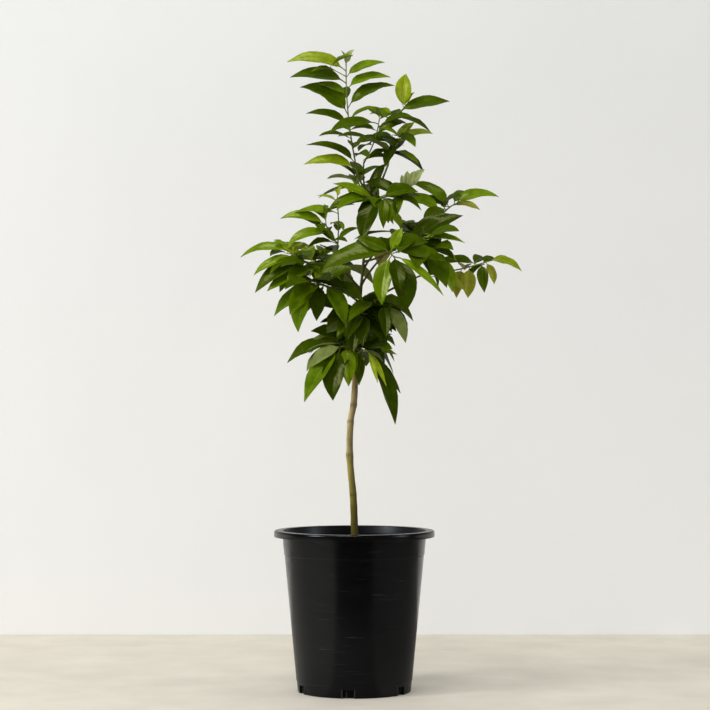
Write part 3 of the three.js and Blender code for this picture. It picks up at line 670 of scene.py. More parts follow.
def crumbGround(bed):
    # The open top of the mix, without the foot of the trunk
    work = bmesh.new()
    work.from_mesh(bed)
    unused = []
    for face in work.faces:
        middle = face.calc_center_median()
        isTop = face.normal.z >= soil["crumbsLevel"] and middle.z >= soil["crumbsAbove"] * metre
        if not isTop or middle.xy.length < soil["crumbsFrom"] * metre:
            unused.append(face)
    bmesh.ops.delete(work, geom=unused, context="FACES")
    return meshOf("crumbGround", work)


def buildSoil():
    floor = pot["floorThickness"] + soil["clearance"]
    foot = pot["footHeight"]
    edge = soilRadius(soilSurface)
    radii = [edge] + [edge * ring / soil["rings"] for ring in range(soil["rings"] - 1, 0, -1)]
    outline = [Vector((0, floor)), Vector((soilRadius(0), floor)), Vector((soilRadius(foot), foot))]
    outline += [Vector((radius, soilTop(radius))) for radius in radii]
    outline.append(Vector((0, soilSurface)))
    bed = addObject("pottingMix", turnedMesh("pottingMix", outline, soil["sides"], lumpy))
    looks = {name: soilMaterial(name) for name in ("dampPeat", "shadedPeat", "barkCrumb", "perliteGrain")}
    bed.data.materials.append(looks["dampPeat"])
    bed.data.materials.append(looks["shadedPeat"])
    # Painted shade: faces low in the pot take the nearly black mix
    for face in bed.data.polygons:
        if face.center.z < soil["shadedBelow"] * metre:
            face.material_index = 1
    bed.data.shade_smooth()
    ground = crumbGround(bed.data)
    finishPiece(bed, "potting_mix", ["soil"])
    scatter = buildScatterTree()
    for name, (look, density, least, most, flat, seed) in soil["scattered"].items():
        worker = runTree(addObject(name + "Bed", ground.copy()), scatter, {
            "Density": density, "Least": least * metre, "Most": most * metre, "Flat": flat,
            "Seed": seed, "Material": looks[look],
        })
        finishPiece(plainMesh(worker, name), "potting_mix")


# Growth rule: the sizes, seeds and order of random draws that the solids grew by

# Height above the mix, sideways, depth and diameter at each bend
trunkBends = [
    (0, 1, 0, 12.7), (45, 0, -1, 11.4), (90, -2, -2, 10.8), (146, -7, -3, 10.4), (203, -6, -1, 10),
    (232, -1, 1, 9.9), (262, 1, 2, 9.7), (325, 4, 2, 8.2), (373, 7, 0, 6.2), (430, 12, -2, 4.6),
    (492, 19, -2, 4), (568, 35, 0, 3.6),
]
growth = {
    "trunkHeight": 568, "flareRadius": 3.2, "flareHeight": 7,
    # Each knot: its height above the mix, how far it stands out, and its spread
    "knots": [(150, 0.7, 6), (202, 0.5, 5), (231, 0.6, 5)],
    "boughStep": 20, "twigStep": 18, "fewestSteps": 3, "petioleRatio": 0.13, "petioleLift": 14,
    "leafAttempts": 8, "outwardLean": 0.5, "rollSpread": 0.5, "sameTip": 0.3,
    # Degrees of stray at a leaf's first attempt, at later ones, and more with every attempt
    "headingStray": (6, 14, 9), "riseStray": (4, 8, 5),
    # The share of a droop or length that is sure, what a draw adds, and what every attempt takes off
    "droopShare": (0.85, 0.3, 0), "bladeShare": (0.97, 0.06, 0.03),
}

# Each bough: the limb it leaves, how far along it, its tip, its bow, and its thickness at foot and tip
boughs = {
    "left_leader": ("trunk", 0.985, (5, -7, 821), (-5, 0, -2), (3.4, 3)),
    "right_leader": ("trunk", 1, (53, 5, 832), (1, 0, 1), (3.4, 3)),
    "middle_leader": ("left_leader", 0.45, (15, 6, 837), (-1, 1, 0), (2.6, 2.4)),
    "upper_right": ("trunk", 0.849, (137, 30, 753), (0, 0, -7), (3.6, 2.8)),
    "right_middle": ("trunk", 0.805, (78, -25, 706), (0, 0, -4), (3.4, 2.8)),
    "right_arm": ("trunk", 0.673, (107, 5, 658), (0, 0, 4), (4, 3)),
    "centre_front": ("trunk", 0.74, (49, -80, 687), (0, 0, 4), (3.6, 3)),
    "left_arm": ("trunk", 0.726, (-40, -12, 676), (-2, 0, 8), (3.8, 3.2)),
    "left_upright": ("left_arm", 0.72, (-27, -8, 697), (2, 0, 0), (2.8, 2.6)),
    "left_lower": ("trunk", 0.69, (-43, -35, 638), (0, 0, 5), (3.4, 2.8)),
    "back_left": ("trunk", 0.718, (-26, 75, 670), (0, 0, 6), (3.6, 2.8)),
    "back_right": ("trunk", 0.782, (50, 80, 715), (0, 0, 4), (3.6, 2.8)),
    "upper_back": ("trunk", 0.936, (12, 50, 793), (0, 0, 3), (2.8, 2.4)),
    "young_shoot": ("trunk", 0.955, (69, -10, 783), (0, 0, -3), (2.8, 2.4)),
}


def sprig(tip, bow, wide, first, slim, turn, rise, blade, droop, on=0, along=None):
    # A shoot's tip, bow, thickness and first leaf's place, its leaves' slimness, and each leaf's heading,
    # rise, length and droop from its foot to its tip; on and along say where it leaves an earlier shoot
    return {"tip": tip, "bow": bow, "wide": wide, "first": first, "slim": slim, "turn": turn,
            "rise": rise, "blade": blade, "droop": droop, "on": on, "along": along}


# Each mass: the limb it grows from, how far along it, its reach, how far its leaves lean to the light,
# and its shoots
masses = {
    "top_left": ("left_leader", 1, 240, 0.6, [
        sprig((-13, -5, 991), (-5, 0, 0), (2.6, 1.7), 0.02, (0.34, 0.42),
              [182, 178, 300, 90, 15, 200, 120, 178, 330, 182, 5, 100, 178, 5, 183, 5, 183, 60],
              [2, 18, -10, 14, 6, 0, 10, 12, 14, 23, 24, 24, 5, 13, 3, 16, 6, 62],
              [78, 76, 46, 60, 54, 50, 56, 66, 50, 84, 76, 56, 58, 68, 84, 62, 86, 24], [38, 40, 44]),
    ]),
    "top_middle": ("middle_leader", 1, 170, 0.7, [
        sprig((39, -24, 900), (4, 0, 0), (2.2, 1.8), 0.42, (0.36, 0.44),
              [80, 182, 20, 10, 165, 350, 183, 176], [12, -3, -16, 20, 8, -24, -4, 28],
              [56, 66, 46, 50, 46, 42, 80, 54], [34]),
        sprig((78, -14, 922), (0, 0, -4), (1.9, 1.6), 0.1, (0.42, 0.5), [350, 20, 172, 150, 5, 60],
              [10, -20, 24, 12, 10, 76], [50, 44, 44, 46, 74, 52], [30], on=0, along=0.86),
    ]),
    "top_right": ("right_leader", 1, 145, 0.7, [
        sprig((73, 8, 875), (-3, 0, 0), (2.6, 2), 0.2, (0.36, 0.46),
              [190, 188, 90, 60, 205, 335, 120, 350, 222, 2, 25, 280],
              [-66, -4, 8, 28, -14, -32, 20, -4, -52, 13, 44, 30],
              [62, 46, 56, 48, 40, 46, 48, 36, 54, 54, 40, 28], [34]),
    ]),
    "young_shoot": ("young_shoot", 1, 110, 0.8, [
        sprig((90, -14, 793), (0, 0, -2), (2.1, 1.7), 0.3, (0.34, 0.44), [250, 110, 80, 300, 20],
              [-58, 66, 70, 58, 48], [42, 30, 34, 32, 38], [44]),
    ]),
    "upper_right": ("upper_right", 1, 125, 0.8, [
        sprig((162, 42, 775), (0, 0, 2), (2.4, 1.8), 0.2, (0.34, 0.44), [184, 100, 215, 165, 340, 60, 0],
              [8, 15, -24, 27, -14, 18, 4], [78, 62, 60, 74, 46, 56, 66], [36, 44]),
    ]),
    "right_middle": ("right_middle", 1, 140, 1.1, [
        sprig((109, -40, 713), (0, 0, 2), (2.6, 2), 0.12, (0.32, 0.42),
              [2, 320, 290, 350, 60, 355, 330, 250, 10], [26, -56, -60, -28, 8, 24, -10, -44, -8],
              [84, 64, 54, 64, 60, 76, 74, 48, 62], [30]),
        sprig((122, -30, 690), (0, 0, -2), (2, 1.7), 0.6, (0.34, 0.42), [20, 300, 345], [-20, -50, -65],
              [54, 48, 62], [30], on=0, along=0.5),
    ]),
    "right_arm": ("right_arm", 1, 190, 0.8, [
        sprig((214, 15, 681), (0, 0, -3), (2.8, 1.8), 0.6, (0.4, 0.5),
              [245, 90, 255, 60, 180, 285, 320, 358], [-70, -6, -78, 12, -2, -76, -74, -22],
              [46, 54, 46, 44, 60, 46, 44, 54], [30, 30, 30, 36, 25, 25, 40, 56]),
        sprig((120, -8, 655), (0, 0, 0), (1.9, 1.7), 0.6, (0.34, 0.42), [60, 350], [-8, -24], [50, 58],
              [30], on=0, along=0.04),
    ]),
    "centre_front": ("centre_front", 1, 155, 1.3, [
        sprig((61, -98, 681), (0, 0, 3), (2.8, 2.2), 0.2, (0.38, 0.46),
              [60, 20, 150, 182, 172, 30, 235, 300, 340, 285],
              [10, 12, -4, -16, 24, 60, -72, -74, -46, -58], [60, 64, 60, 98, 54, 42, 74, 90, 96, 62],
              [28]),
    ]),
    "centre_upper": ("trunk", 0.962, 125, 1.1, [
        sprig((48, -38, 780), (0, 0, 3), (2.6, 2), 0.25, (0.4, 0.5), [180, 184, 222, 330, 15, 300, 262],
              [26, -16, -64, -40, 6, -72, -70], [72, 74, 68, 34, 56, 42, 52], [26]),
    ]),
    "left_arm": ("left_arm", 1, 165, 0.9, [
        sprig((-79, -20, 679), (0, 0, -2), (3, 2.4), 0.2, (0.36, 0.46), [90, 262, 150, 100, 212, 200],
              [0, -50, 14, 22, -48, -34], [64, 40, 50, 58, 66, 86], [30]),
        sprig((-101, -24, 693), (0, 0, -2), (2.2, 1.8), 0.25, (0.24, 0.32), [192, 120, 205, 60, 165, 181],
              [-22, 12, -36, 38, 26, -8], [74, 50, 66, 34, 38, 74], [44], on=0, along=0.96),
        sprig((-68, -35, 661), (0, 0, 2), (2, 1.8), 0.6, (0.36, 0.46), [216, 196], [-38, -28], [60, 70],
              [26], on=0, along=0.5),
    ]),
    "left_upright": ("left_upright", 1, 140, 0.8, [
        sprig((-27, -10, 775), (2, 0, 0), (2.4, 1.6), 0.2, (0.26, 0.36), [5, 90, 110, 300, 178, 10, 178],
              [28, 15, 0, -50, 0, 6, 14], [36, 50, 44, 24, 64, 26, 30], [34]),
        sprig((-45, -14, 749), (-6, 0, 0), (1.9, 1.6), 0.12, (0.28, 0.36), [186, 198, 80, 182, 150, 262],
              [22, -18, 12, 6, 34, 40], [40, 68, 48, 72, 30, 26], [60, 40, 30], on=0, along=0.14),
    ]),
    "left_lower": ("left_lower", 1, 155, 1.1, [
        sprig((-56, -47, 643), (0, 0, 1), (2.6, 2.1), 0.15, (0.42, 0.5),
              [345, 110, 180, 330, 196, 215, 188, 262], [-26, -56, -36, -60, -62, -44, -48, -76],
              [72, 62, 84, 68, 88, 70, 78, 54], [32]),
    ]),
    "middle_front": ("trunk", 0.648, 115, 1.2, [
        sprig((12, -42, 597), (0, 0, 3), (2.6, 2), 0.4, (0.42, 0.52),
              [10, 185, 335, 200, 250, 350, 285, 225], [-20, -34, -52, -14, -64, -30, -70, -44],
              [50, 60, 60, 54, 66, 56, 62, 58], [28]),
    ]),
    "right_lower": ("trunk", 0.664, 125, 1.1, [
        sprig((46, -36, 612), (0, 0, 3), (2.6, 2), 0.4, (0.36, 0.44), [200, 350, 215, 345, 280],
              [-50, -72, -20, -60, -66], [54, 66, 40, 68, 56], [28]),
    ]),
    "lower_left": ("trunk", 0.553, 140, 0.9, [
        sprig((-21, -45, 543), (0, 0, 5), (3, 2.2), 0.4, (0.4, 0.5),
              [270, 172, 150, 188, 183, 285, 165, 200, 206, 245],
              [-76, -6, -34, -40, -20, -78, -46, -36, -54, -74], [50, 66, 64, 76, 86, 60, 74, 60, 92, 82],
              [34, 34, 26]),
    ]),
    "lower_right": ("trunk", 0.545, 145, 1, [
        sprig((20, -40, 537), (0, 0, 4), (3, 2.2), 0.4, (0.26, 0.34), [10, 30, 245, 0, 20, 338, 330, 300],
              [24, -8, -78, -52, -60, -68, -58, -74], [52, 58, 52, 82, 76, 112, 60, 56], [24]),
    ]),
    "lower_back": ("trunk", 0.592, 155, 0, [
        sprig((12, 58, 568), (0, 0, 5), (3, 2.2), 0.35, (0.4, 0.48), [20, 160, 60, 130, 95, 40, 75, 110],
              [-50, -40, -40, -50, -58, -56, -16, -28], [78, 76, 84, 82, 84, 78, 80, 80], [28]),
    ]),
    "back_left": ("back_left", 1, 155, 0, [
        sprig((-53, 104, 691), (0, 0, 3), (2.8, 2), 0.12, (0.38, 0.46),
              [40, 170, 70, 210, 120, 150, 20, 90, 180], [-20, -24, -34, -4, 0, -40, 8, 12, 10],
              [72, 80, 80, 66, 82, 80, 66, 74, 70], [32]),
    ]),
    "back_right": ("back_right", 1, 155, 0, [
        sprig((78, 108, 736), (0, 0, 3), (2.8, 2), 0.12, (0.38, 0.46),
              [130, 350, 100, 20, 60, 160, 330, 80, 120], [-14, -30, -36, 0, -24, -10, 4, 10, 26],
              [78, 70, 82, 74, 80, 70, 62, 76, 62], [32]),
    ]),
    "upper_back": ("upper_back", 1, 125, 0, [
        sprig((4, 68, 819), (0, 0, 2), (2.2, 1.8), 0.15, (0.36, 0.44),
              [0, 190, 60, 140, 250, 100, 30, 160, 90], [0, -16, -14, 8, -30, 34, 24, 30, -4],
              [60, 62, 66, 64, 44, 58, 52, 50, 68], [32]),
    ]),
}


def nodeOf(mass):
    return "foliage_" + mass


def seededRandom(seed):
    # Random numbers from a whole-number seed, the same on every run
    word = 0xFFFFFFFF
    state = ((seed + 1) * 0x9E3779B1) & word
    while True:
        state = (state + 0x6D2B79F5) & word
        stirred = ((state ^ (state >> 15)) * (state | 1)) & word
        stirred ^= (stirred + (stirred ^ (stirred >> 7)) * (stirred | 61)) & word
        yield (stirred ^ (stirred >> 14)) / 4294967296


def drawn(draw, least, span):
    # A random number from the least up to the least and the span together
    return least + span * next(draw)


def treeOf(points):
    # A search tree of points
    tree = KDTree(len(points))
    for index, point in enumerate(points):
        tree.insert(point, index)
    tree.balance()
    return tree


def profileAt(profile, share):
    # Value at a share of the way through a short profile
    spot = share * (len(profile) - 1)
    before = min(int(spot), len(profile) - 1)
    after = min(before + 1, len(profile) - 1)
    return profile[before] + (profile[after] - profile[before]) * (spot - before)


def bendAt(column, share):
    # Value of one column of the bends at a share of the trunk's height, on a smooth curve
    height = share * growth["trunkHeight"]
    row = max(next(index for index, bend in enumerate(trunkBends) if bend[0] >= height - 1e-9), 1)
    last = len(trunkBends) - 1
    before, start, end, after = (trunkBends[min(max(row + shift, 0), last)] for shift in (-2, -1, 0, 1))
    span = end[0] - start[0]
    spot = (height - start[0]) / span
    startSlope = (end[column] - before[column]) / (end[0] - before[0])
    endSlope = (after[column] - start[column]) / (after[0] - start[0])
    square = spot * spot
    cube = square * spot
    return ((2 * cube - 3 * square + 1) * start[column] + (cube - 2 * square + spot) * span * startSlope
            + (3 * square - 2 * cube) * end[column] + (cube - square) * span * endSlope)


class TrunkLimb:
    # The trunk, which most boughs grow from
    def pointAt(self, share):
        return Vector((bendAt(1, share), bendAt(2, share), soil["level"] + share * growth["trunkHeight"]))

    def radiusAt(self, share):
        height = share * growth["trunkHeight"]
        swelling = sum(extra * math.exp(-((height - middle) / spread) ** 2)
                       for middle, extra, spread in growth["knots"])
        flare = growth["flareRadius"] * math.exp(-height / growth["flareHeight"])
        return bendAt(3, share) / 2 + flare + swelling


class BowedLimb:
    # A bough or a shoot: a line with a bow, cut into the same straight steps as its solid
    def __init__(self, parent, along, tip, bow, wide, stepLength):
        self.start = parent.pointAt(along)
        self.parentRadius = parent.radiusAt(along)
        self.end = Vector(tip)
        self.arch = Vector(bow)
        self.wide = wide
        self.length = (self.end - self.start).length
        self.steps = max(growth["fewestSteps"], int(self.length / stepLength + 0.5))
        self.joints = [self.curveAt(step / self.steps) for step in range(self.steps + 1)]

    def curveAt(self, share):
        return self.start.lerp(self.end, share) + self.arch * (4 * share * (1 - share))

    def pointAt(self, share):
        step = min(int(share * self.steps), self.steps - 1)
        return self.joints[step].lerp(self.joints[step + 1], share * self.steps - step)

    def tangentAt(self, share):
        return (self.end - self.start + self.arch * (4 - 8 * share)).normalized()

    def radiusAt(self, share):
        return (self.wide[0] + (self.wide[1] - self.wide[0]) * share) / 2


class LeafPlan:
    # A leaf on a shoot: its middle line, worked out from its heading, rise, droop and length, and its width
    def __init__(self, shoot, along, share, heading, rise, droop, blade, width):
        self.shoot = shoot
        self.along = along
        self.share = share
        self.foot = shoot["limb"].pointAt(along)
        self.out = way(heading)
        self.startRise = math.radians(rise + droop / 2)
        self.blade = blade
        self.width = width
        petiole = blade * growth["petioleRatio"]
        petioleRise = self.startRise + math.radians(growth["petioleLift"])
        self.neck = self.foot + self.out * (petiole * math.cos(petioleRise))
        self.neck.z += petiole * math.sin(petioleRise)
        self.curl = math.radians(droop) / blade
        self.isFine = False
        self.isTip = False
        self.tone = None

    def faceLight(self, outward, lean, strayX=0, strayY=0):
        # Which way the blade's upper side faces
        self.facing = Vector((self.out.x * outward + strayX, self.out.y * outward - lean + strayY, 1))

    def angleAt(self, share):
        return self.startRise - self.curl * self.blade * share

    def pointAt(self, share):
        angle = self.angleAt(share)
        ahead = (math.sin(self.startRise) - math.sin(angle)) / self.curl
        up = (math.cos(angle) - math.cos(self.startRise)) / self.curl
        return self.neck + self.out * ahead + Vector((0, 0, up))

    def tangentAt(self, share):
        angle = self.angleAt(share)
        return self.out * math.cos(angle) + Vector((0, 0, math.sin(angle)))


def planLeaf(shoot, index, attempt):
    draw = seededRandom(shoot["seed"] * 1000 + index * 10 + attempt)
    count = len(shoot["turn"])
    share = index / (count - 1) if count > 1 else 1
    along = min(shoot["first"] + (1 - shoot["first"]) * share, 1 - 1 / shoot["limb"].length)

    def strayed(value, stray):
        first, later, more = growth[stray]
        return value + (next(draw) - 0.5) * (later + more * attempt if attempt else first)

    def shared(value, part):
        sure, added, lost = growth[part]
        return value * (sure + added * next(draw) - lost * attempt)

    heading = strayed(shoot["turn"][index], "headingStray")
    rise = strayed(profileAt(shoot["rise"], share), "riseStray")
    droop = shared(profileAt(shoot["droop"], share), "droopShare")
    blade = shared(profileAt(shoot["blade"], share), "bladeShare")
    slimmest, widest = shoot["slim"]
    width = blade * drawn(draw, slimmest, widest - slimmest)
    leaf = LeafPlan(shoot, along, share, heading, rise, droop, blade, width)
    roll = growth["rollSpread"]
    leaf.faceLight(growth["outwardLean"], shoot["lean"], (next(draw) - 0.5) * roll, (next(draw) - 0.5) * roll)
    return leaf


def growLimbs():
    limbs = {"trunk": TrunkLimb()}
    for name, (parent, *plan) in boughs.items():
        limbs[name] = BowedLimb(limbs[parent], *plan, growth["boughStep"])
    return limbs


def growShoots(limbs):
    # Every shoot of every mass, in the solids' order
    shoots = []
    for massIndex, (mass, (limbName, along, reach, lean, plans)) in enumerate(masses.items()):
        stem = limbs[limbName]
        grown = []
        for shootIndex, plan in enumerate(plans):
            parent, start = (grown[plan["on"]]["limb"], plan["along"]) if shootIndex else (stem, along)
            limb = BowedLimb(parent, start, plan["tip"], plan["bow"], plan["wide"], growth["twigStep"])
            grown.append({**plan, "limb": limb, "lean": lean, "mass": mass, "reach": reach,
                          "foot": stem.pointAt(along), "seed": massIndex * 10 + shootIndex})
        shoots += grown
    return shoots


def growLeaves(shoots):
    # The leaves that the solids kept: of each leaf's attempts, the one whose tip is a corner of its mass
    corners = {}
    for mass in masses:
        corners[mass] = treeOf([point.co / metre for point in frame["nodes"][nodeOf(mass)].data.vertices])
    leaves = []
    for shoot in shoots:
        for index in range(len(shoot["turn"])):
            for attempt in range(growth["leafAttempts"]):
                leaf = planLeaf(shoot, index, attempt)
                if corners[shoot["mass"]].find(leaf.pointAt(1))[2] < growth["sameTip"]:
                    leaf.number = index
                    leaves.append(leaf)
                    break
    return leaves


# Bark, boughs and twigs: paths with a girth, an age and a scar at each point, swept by Geometry Nodes

stems = {
    # Each piece: its sides, how far its bark is raised, and how fine
    "barkTrunk": (40, 0.5, 420), "greenBoughs": (14, 0.12, 500), "twigs": (9, 0.08, 500),
    "leafStalks": (6, 0, 500),
    "trunkStep": 2.5, "limbStep": 4, "fineStep": 3, "fewestSteps": 6, "stalkSteps": 6,
    "grainStretch": (1, 1, 0.22), "grainDetail": 3,
    # Each scar: its height above the mix, strength, spread, and the way in which it pushes the bark out
    "scars": [
        (8, 0.35, 3, 200), (24, 0.5, 2.2, 30), (43, 0.45, 2, 160), (70, 0.35, 2, 300), (88, 0.6, 2.4, 60),
        (112, 0.35, 2, 190), (141, 0.3, 1.6, 320), (152, 0.6, 2.6, 185), (176, 0.3, 2, 100),
        (204, 0.55, 1.6, 200), (229, 0.6, 3, 340), (258, 0.4, 2, 170), (286, 0.5, 2, 40), (318, 0.5, 2, 220),
    ],
    "scarRing": 0.2, "scarPush": 0.5, "scarSeen": 1.2, "scarMost": 0.8, "lump": 0.4,
    "lumpScale": 0.05, "lumpRow": 3, "buried": 5, "buriedGirth": 1.1,
    "collar": 0.45, "collarLength": 3, "joint": 0.1, "jointScale": 0.12, "jointRow": 3.7, "jointScar": 3,
    "zigzag": 0.5, "zigzagScale": 0.05,
    # How far past its end a limb's tip reaches, and its girth there
    "tips": ((0.6, 0.75), (0.9, 0.35)),
    # Ages from foot to tip: of young and older wood, young and older twigs, and finer twigs
    "youngWood": (0.3, 0.12), "olderWood": (0.85, 0.45), "youngTwig": (0.15, 0.05), "olderTwig": (0.5, 0.05),
    "fineTwig": (0.2, 0.02),
    # The first number that each kind of limb draws its swellings and sway by
    "boughSeed": 1, "twigSeed": 20, "fineSeed": 90,
    "youngLimbs": ("right_leader", "young_shoot"), "youngMasses": ("top_right", "young_shoot"),
    "stalkRadius": 0.72, "stalkBlade": 70, "stalkAhead": 0.55, "stalkFoot": (0.35, 7), "stalkNeck": (0.18, 9),
    "stalkEnd": (0.03, 0.6),
    "shine": 0.2, "relief": 0.3,
    "shadeTint": (0.42, 0.38, 0.26, 1), "shadeStretch": (1, 1, 0.16), "shade": 0.85,
    "patchShare": 0.345, "patchDetail": 2, "patches": (0.42, 0.6, 0.08, 1),
    "skinStretch": (1, 1, 0.3), "skinShare": 3,
    # Painted shade: bark whose normal faces this way is darkened towards this colour, by the amount each bark
    # gives
    "paintedShadeFacing": (0.94, -0.34, 0), "paintedShadeFrom": -0.5, "paintedShadeColour": (0.05, 0.035, 0.012, 1),
    # Each bark: its colours by age, its scars, roughness from and to, scale, and how much painted shade its
    # side
    #     # away from the window lamp takes
    "tanBark": ([
        (0, linear(136, 128, 30)), (0.05, linear(116, 108, 34)), (0.12, linear(148, 138, 50)),
        (0.19, linear(176, 162, 82)), (0.25, linear(196, 184, 100)), (0.29, linear(230, 212, 156)),
        # The dark brown from about halfway up, where the trunk goes in among the leaves, is partly the bark's
        # own colour and partly painted shade of the leaves above
        (0.48, linear(226, 202, 148)), (0.58, linear(128, 98, 66)), (0.74, linear(94, 90, 40)),
        (1, linear(104, 122, 40)),
    ], linear(84, 76, 34), 0.55, 0.75, 150, 0.84),
    "greenBark": ([
        (0, linear(150, 172, 56)), (0.35, linear(112, 134, 34)), (0.7, linear(78, 80, 30)),
        (1, linear(88, 68, 38)),
    ], linear(120, 110, 70), 0.4, 0.6, 340, 0.35),
}


def buildStemTree():
    # Sweeps a ring along every path and raises the bark along the grain
    tree, given, out = newShaping("sweepStems", {
        "Sides": ("Int", 12), "Relief": ("Float", 0.0002), "Grain": ("Float", 300.0),
    })
    paths = addNode(tree, "GeometryNodeMeshToCurve", {0: given["Geometry"]}).outputs[0]
    girth = addNode(tree, "GeometryNodeInputNamedAttribute", {"Name": "girth"}, data_type="FLOAT").outputs[0]
    ring = addNode(tree, "GeometryNodeCurvePrimitiveCircle", {"Resolution": given["Sides"], "Radius": 1.0})
    swept = addNode(tree, "GeometryNodeCurveToMesh", {
        "Curve": paths, "Profile Curve": ring.outputs[0], "Scale": girth, "Fill Caps": True,
    }).outputs[0]
    along = stretched(tree, addNode(tree, "GeometryNodeInputPosition").outputs[0], stems["grainStretch"])
    level = maths(tree, "SUBTRACT", cloud(tree, along, given["Grain"], stems["grainDetail"]), 0.5)
    normal = addNode(tree, "GeometryNodeInputNormal").outputs[0]
    move = scaled(tree, normal, multiplied(tree, level, given["Relief"]))
    raised = addNode(tree, "GeometryNodeSetPosition", {"Geometry": swept, "Offset": move}).outputs[0]
    return closeShaping(tree, given, out, addNode(tree, "GeometryNodeSetShadeSmooth", {0: raised}).outputs[0])


def sweepPaths(tree, name, paths, material):
    # One mesh from many paths; a path is a list of place, girth, age and scar
    sides, relief, grain = stems[name]
    places, edges = [], []
    values = {"girth": [], "age": [], "scar": []}
    for path in paths:
        for index, (spot, girth, age, scar) in enumerate(path):
            if index:
                edges.append((len(places) - 1, len(places)))
            places.append(spot * metre)
            values["girth"].append(girth * metre)
            values["age"].append(age)
            values["scar"].append(scar)
    mesh = bpy.data.meshes.new(name + "Paths")
    mesh.from_pydata(places, edges, [])
    for label, row in values.items():
        mesh.attributes.new(label, "FLOAT", "POINT").data.foreach_set("value", row)
    worker = runTree(addObject(name + "Paths", mesh), tree, {
        "Sides": sides, "Relief": relief * metre, "Grain": grain, "Material": material,
    })
    return plainMesh(worker, name)


def stemMaterial(name):
    # Bark coloured by age along the stem, darker at its scars, with painted shade on its side away from the
    # window
    #     # lamp, and with upright grain
    material, tree = newMaterial(name)
    ages, scarColour, smooth, rough, scale, paintedShadeAmount = stems[name]
    age = addNode(tree, "ShaderNodeAttribute", attribute_name="age").outputs["Fac"]
    scar = addNode(tree, "ShaderNodeAttribute", attribute_name="scar").outputs["Fac"]
    ramp = addNode(tree, "ShaderNodeValToRGB", {0: age})
    stops = ramp.color_ramp.elements
    while len(stops) < len(ages):
        stops.new(0.5)
    for stop, (position, colour) in zip(stops, ages):
        stop.position = position
        stop.color = colour
    plain = ramp.outputs[0]
    tint = placeGroup(tree, mottle, {
        "Light": plain, "Shade": mixed(tree, 1.0, plain, stems["shadeTint"], blend_type="MULTIPLY"),
        "Stretch": stems["shadeStretch"], "Scale": scale, "Amount": stems["shade"],
    })["Color"]
    patches = cloud(tree, objectPlace(tree), scale * stems["patchShare"], stems["patchDetail"])
    mark = multiplied(tree, scar, ranged(tree, patches, stems["patches"]))
    marked = mixed(tree, mark, tint, scarColour)
    # Painted shade: the bark darkens on the side turned away from the window lamp
    normal = addNode(tree, "ShaderNodeTexCoord").outputs["Normal"]
    facing = addNode(tree, "ShaderNodeVectorMath", {0: normal, 1: stems["paintedShadeFacing"]},
                     operation="DOT_PRODUCT").outputs["Value"]
    share = ranged(tree, facing, (stems["paintedShadeFrom"], 1, 0, paintedShadeAmount))
    skin = placeGroup(tree, fineSkin, {
        "Stretch": stems["skinStretch"], "Scale": scale * stems["skinShare"],
        "Smooth": smooth, "Rough": rough,
    })
    shadedBark = mixed(tree, share, marked, stems["paintedShadeColour"])
    return closeMaterial(material, skin["Height"], stems["relief"], shadedBark, skin["Roughness"],
                         shine=stems["shine"])


def scarsAt(height):
    # How strong the scars are at a height, and the way in which they push the bark out
    ring = 0
    push = Vector((0, 0, 0))
    for middle, depth, spread, turn in stems["scars"]:
        strength = depth * math.exp(-((height - middle) / spread) ** 2)
        ring += strength
        push += way(turn) * strength
    return ring, push


def trunkPath(trunk):
    # From just under the mix's surface to the top, with the scars' rings
    steps = int(growth["trunkHeight"] / stems["trunkStep"])
    foot = trunk.pointAt(0) - Vector((0, 0, stems["buried"]))
    path = [(foot, trunk.radiusAt(0) * stems["buriedGirth"], 0, 0)]
    for step in range(steps + 1):
        share = step / steps
        height = share * growth["trunkHeight"]
        ring, push = scarsAt(height)
        lump = noise.noise(Vector((height * stems["lumpScale"], stems["lumpRow"], 0))) * stems["lump"]
        girth = trunk.radiusAt(share) + ring * stems["scarRing"] + lump
        seen = min(ring * stems["scarSeen"], stems["scarMost"])
        path.append((trunk.pointAt(share) + push * stems["scarPush"], girth, share, seen))
    return path


def limbPath(limb, stepLength, ages, seed):
    # A limb with a collar where it leaves its parent, small swellings at its joints, and a rounded tip
    oldest, youngest = ages
    steps = max(stems["fewestSteps"], int(limb.length / stepLength))
    path = []
    for step in range(steps + 1):
        share = step / steps
        distance = share * limb.length
        collar = stems["collar"] * math.exp(-max(distance - limb.parentRadius, 0) / stems["collarLength"])
        swell = noise.noise(Vector((distance * stems["jointScale"], seed * stems["jointRow"], 1)))
        joint = stems["joint"] * max(0, swell)
        girth = limb.radiusAt(share) * (1 + collar + joint)
        sideways, deep = (noise.noise(Vector((distance * stems["zigzagScale"], seed, row))) for row in (0, 9))
        sway = Vector((sideways, deep, 0)) * stems["zigzag"] * 2 * share * (1 - share)
        path.append((limb.curveAt(share) + sway, girth, oldest + (youngest - oldest) * share,
                     joint * stems["jointScar"]))
    end = limb.tangentAt(1) * limb.radiusAt(1)
    for reach, share in stems["tips"]:
        path.append((limb.end + end * reach, limb.radiusAt(1) * share, youngest, 0))
    return path


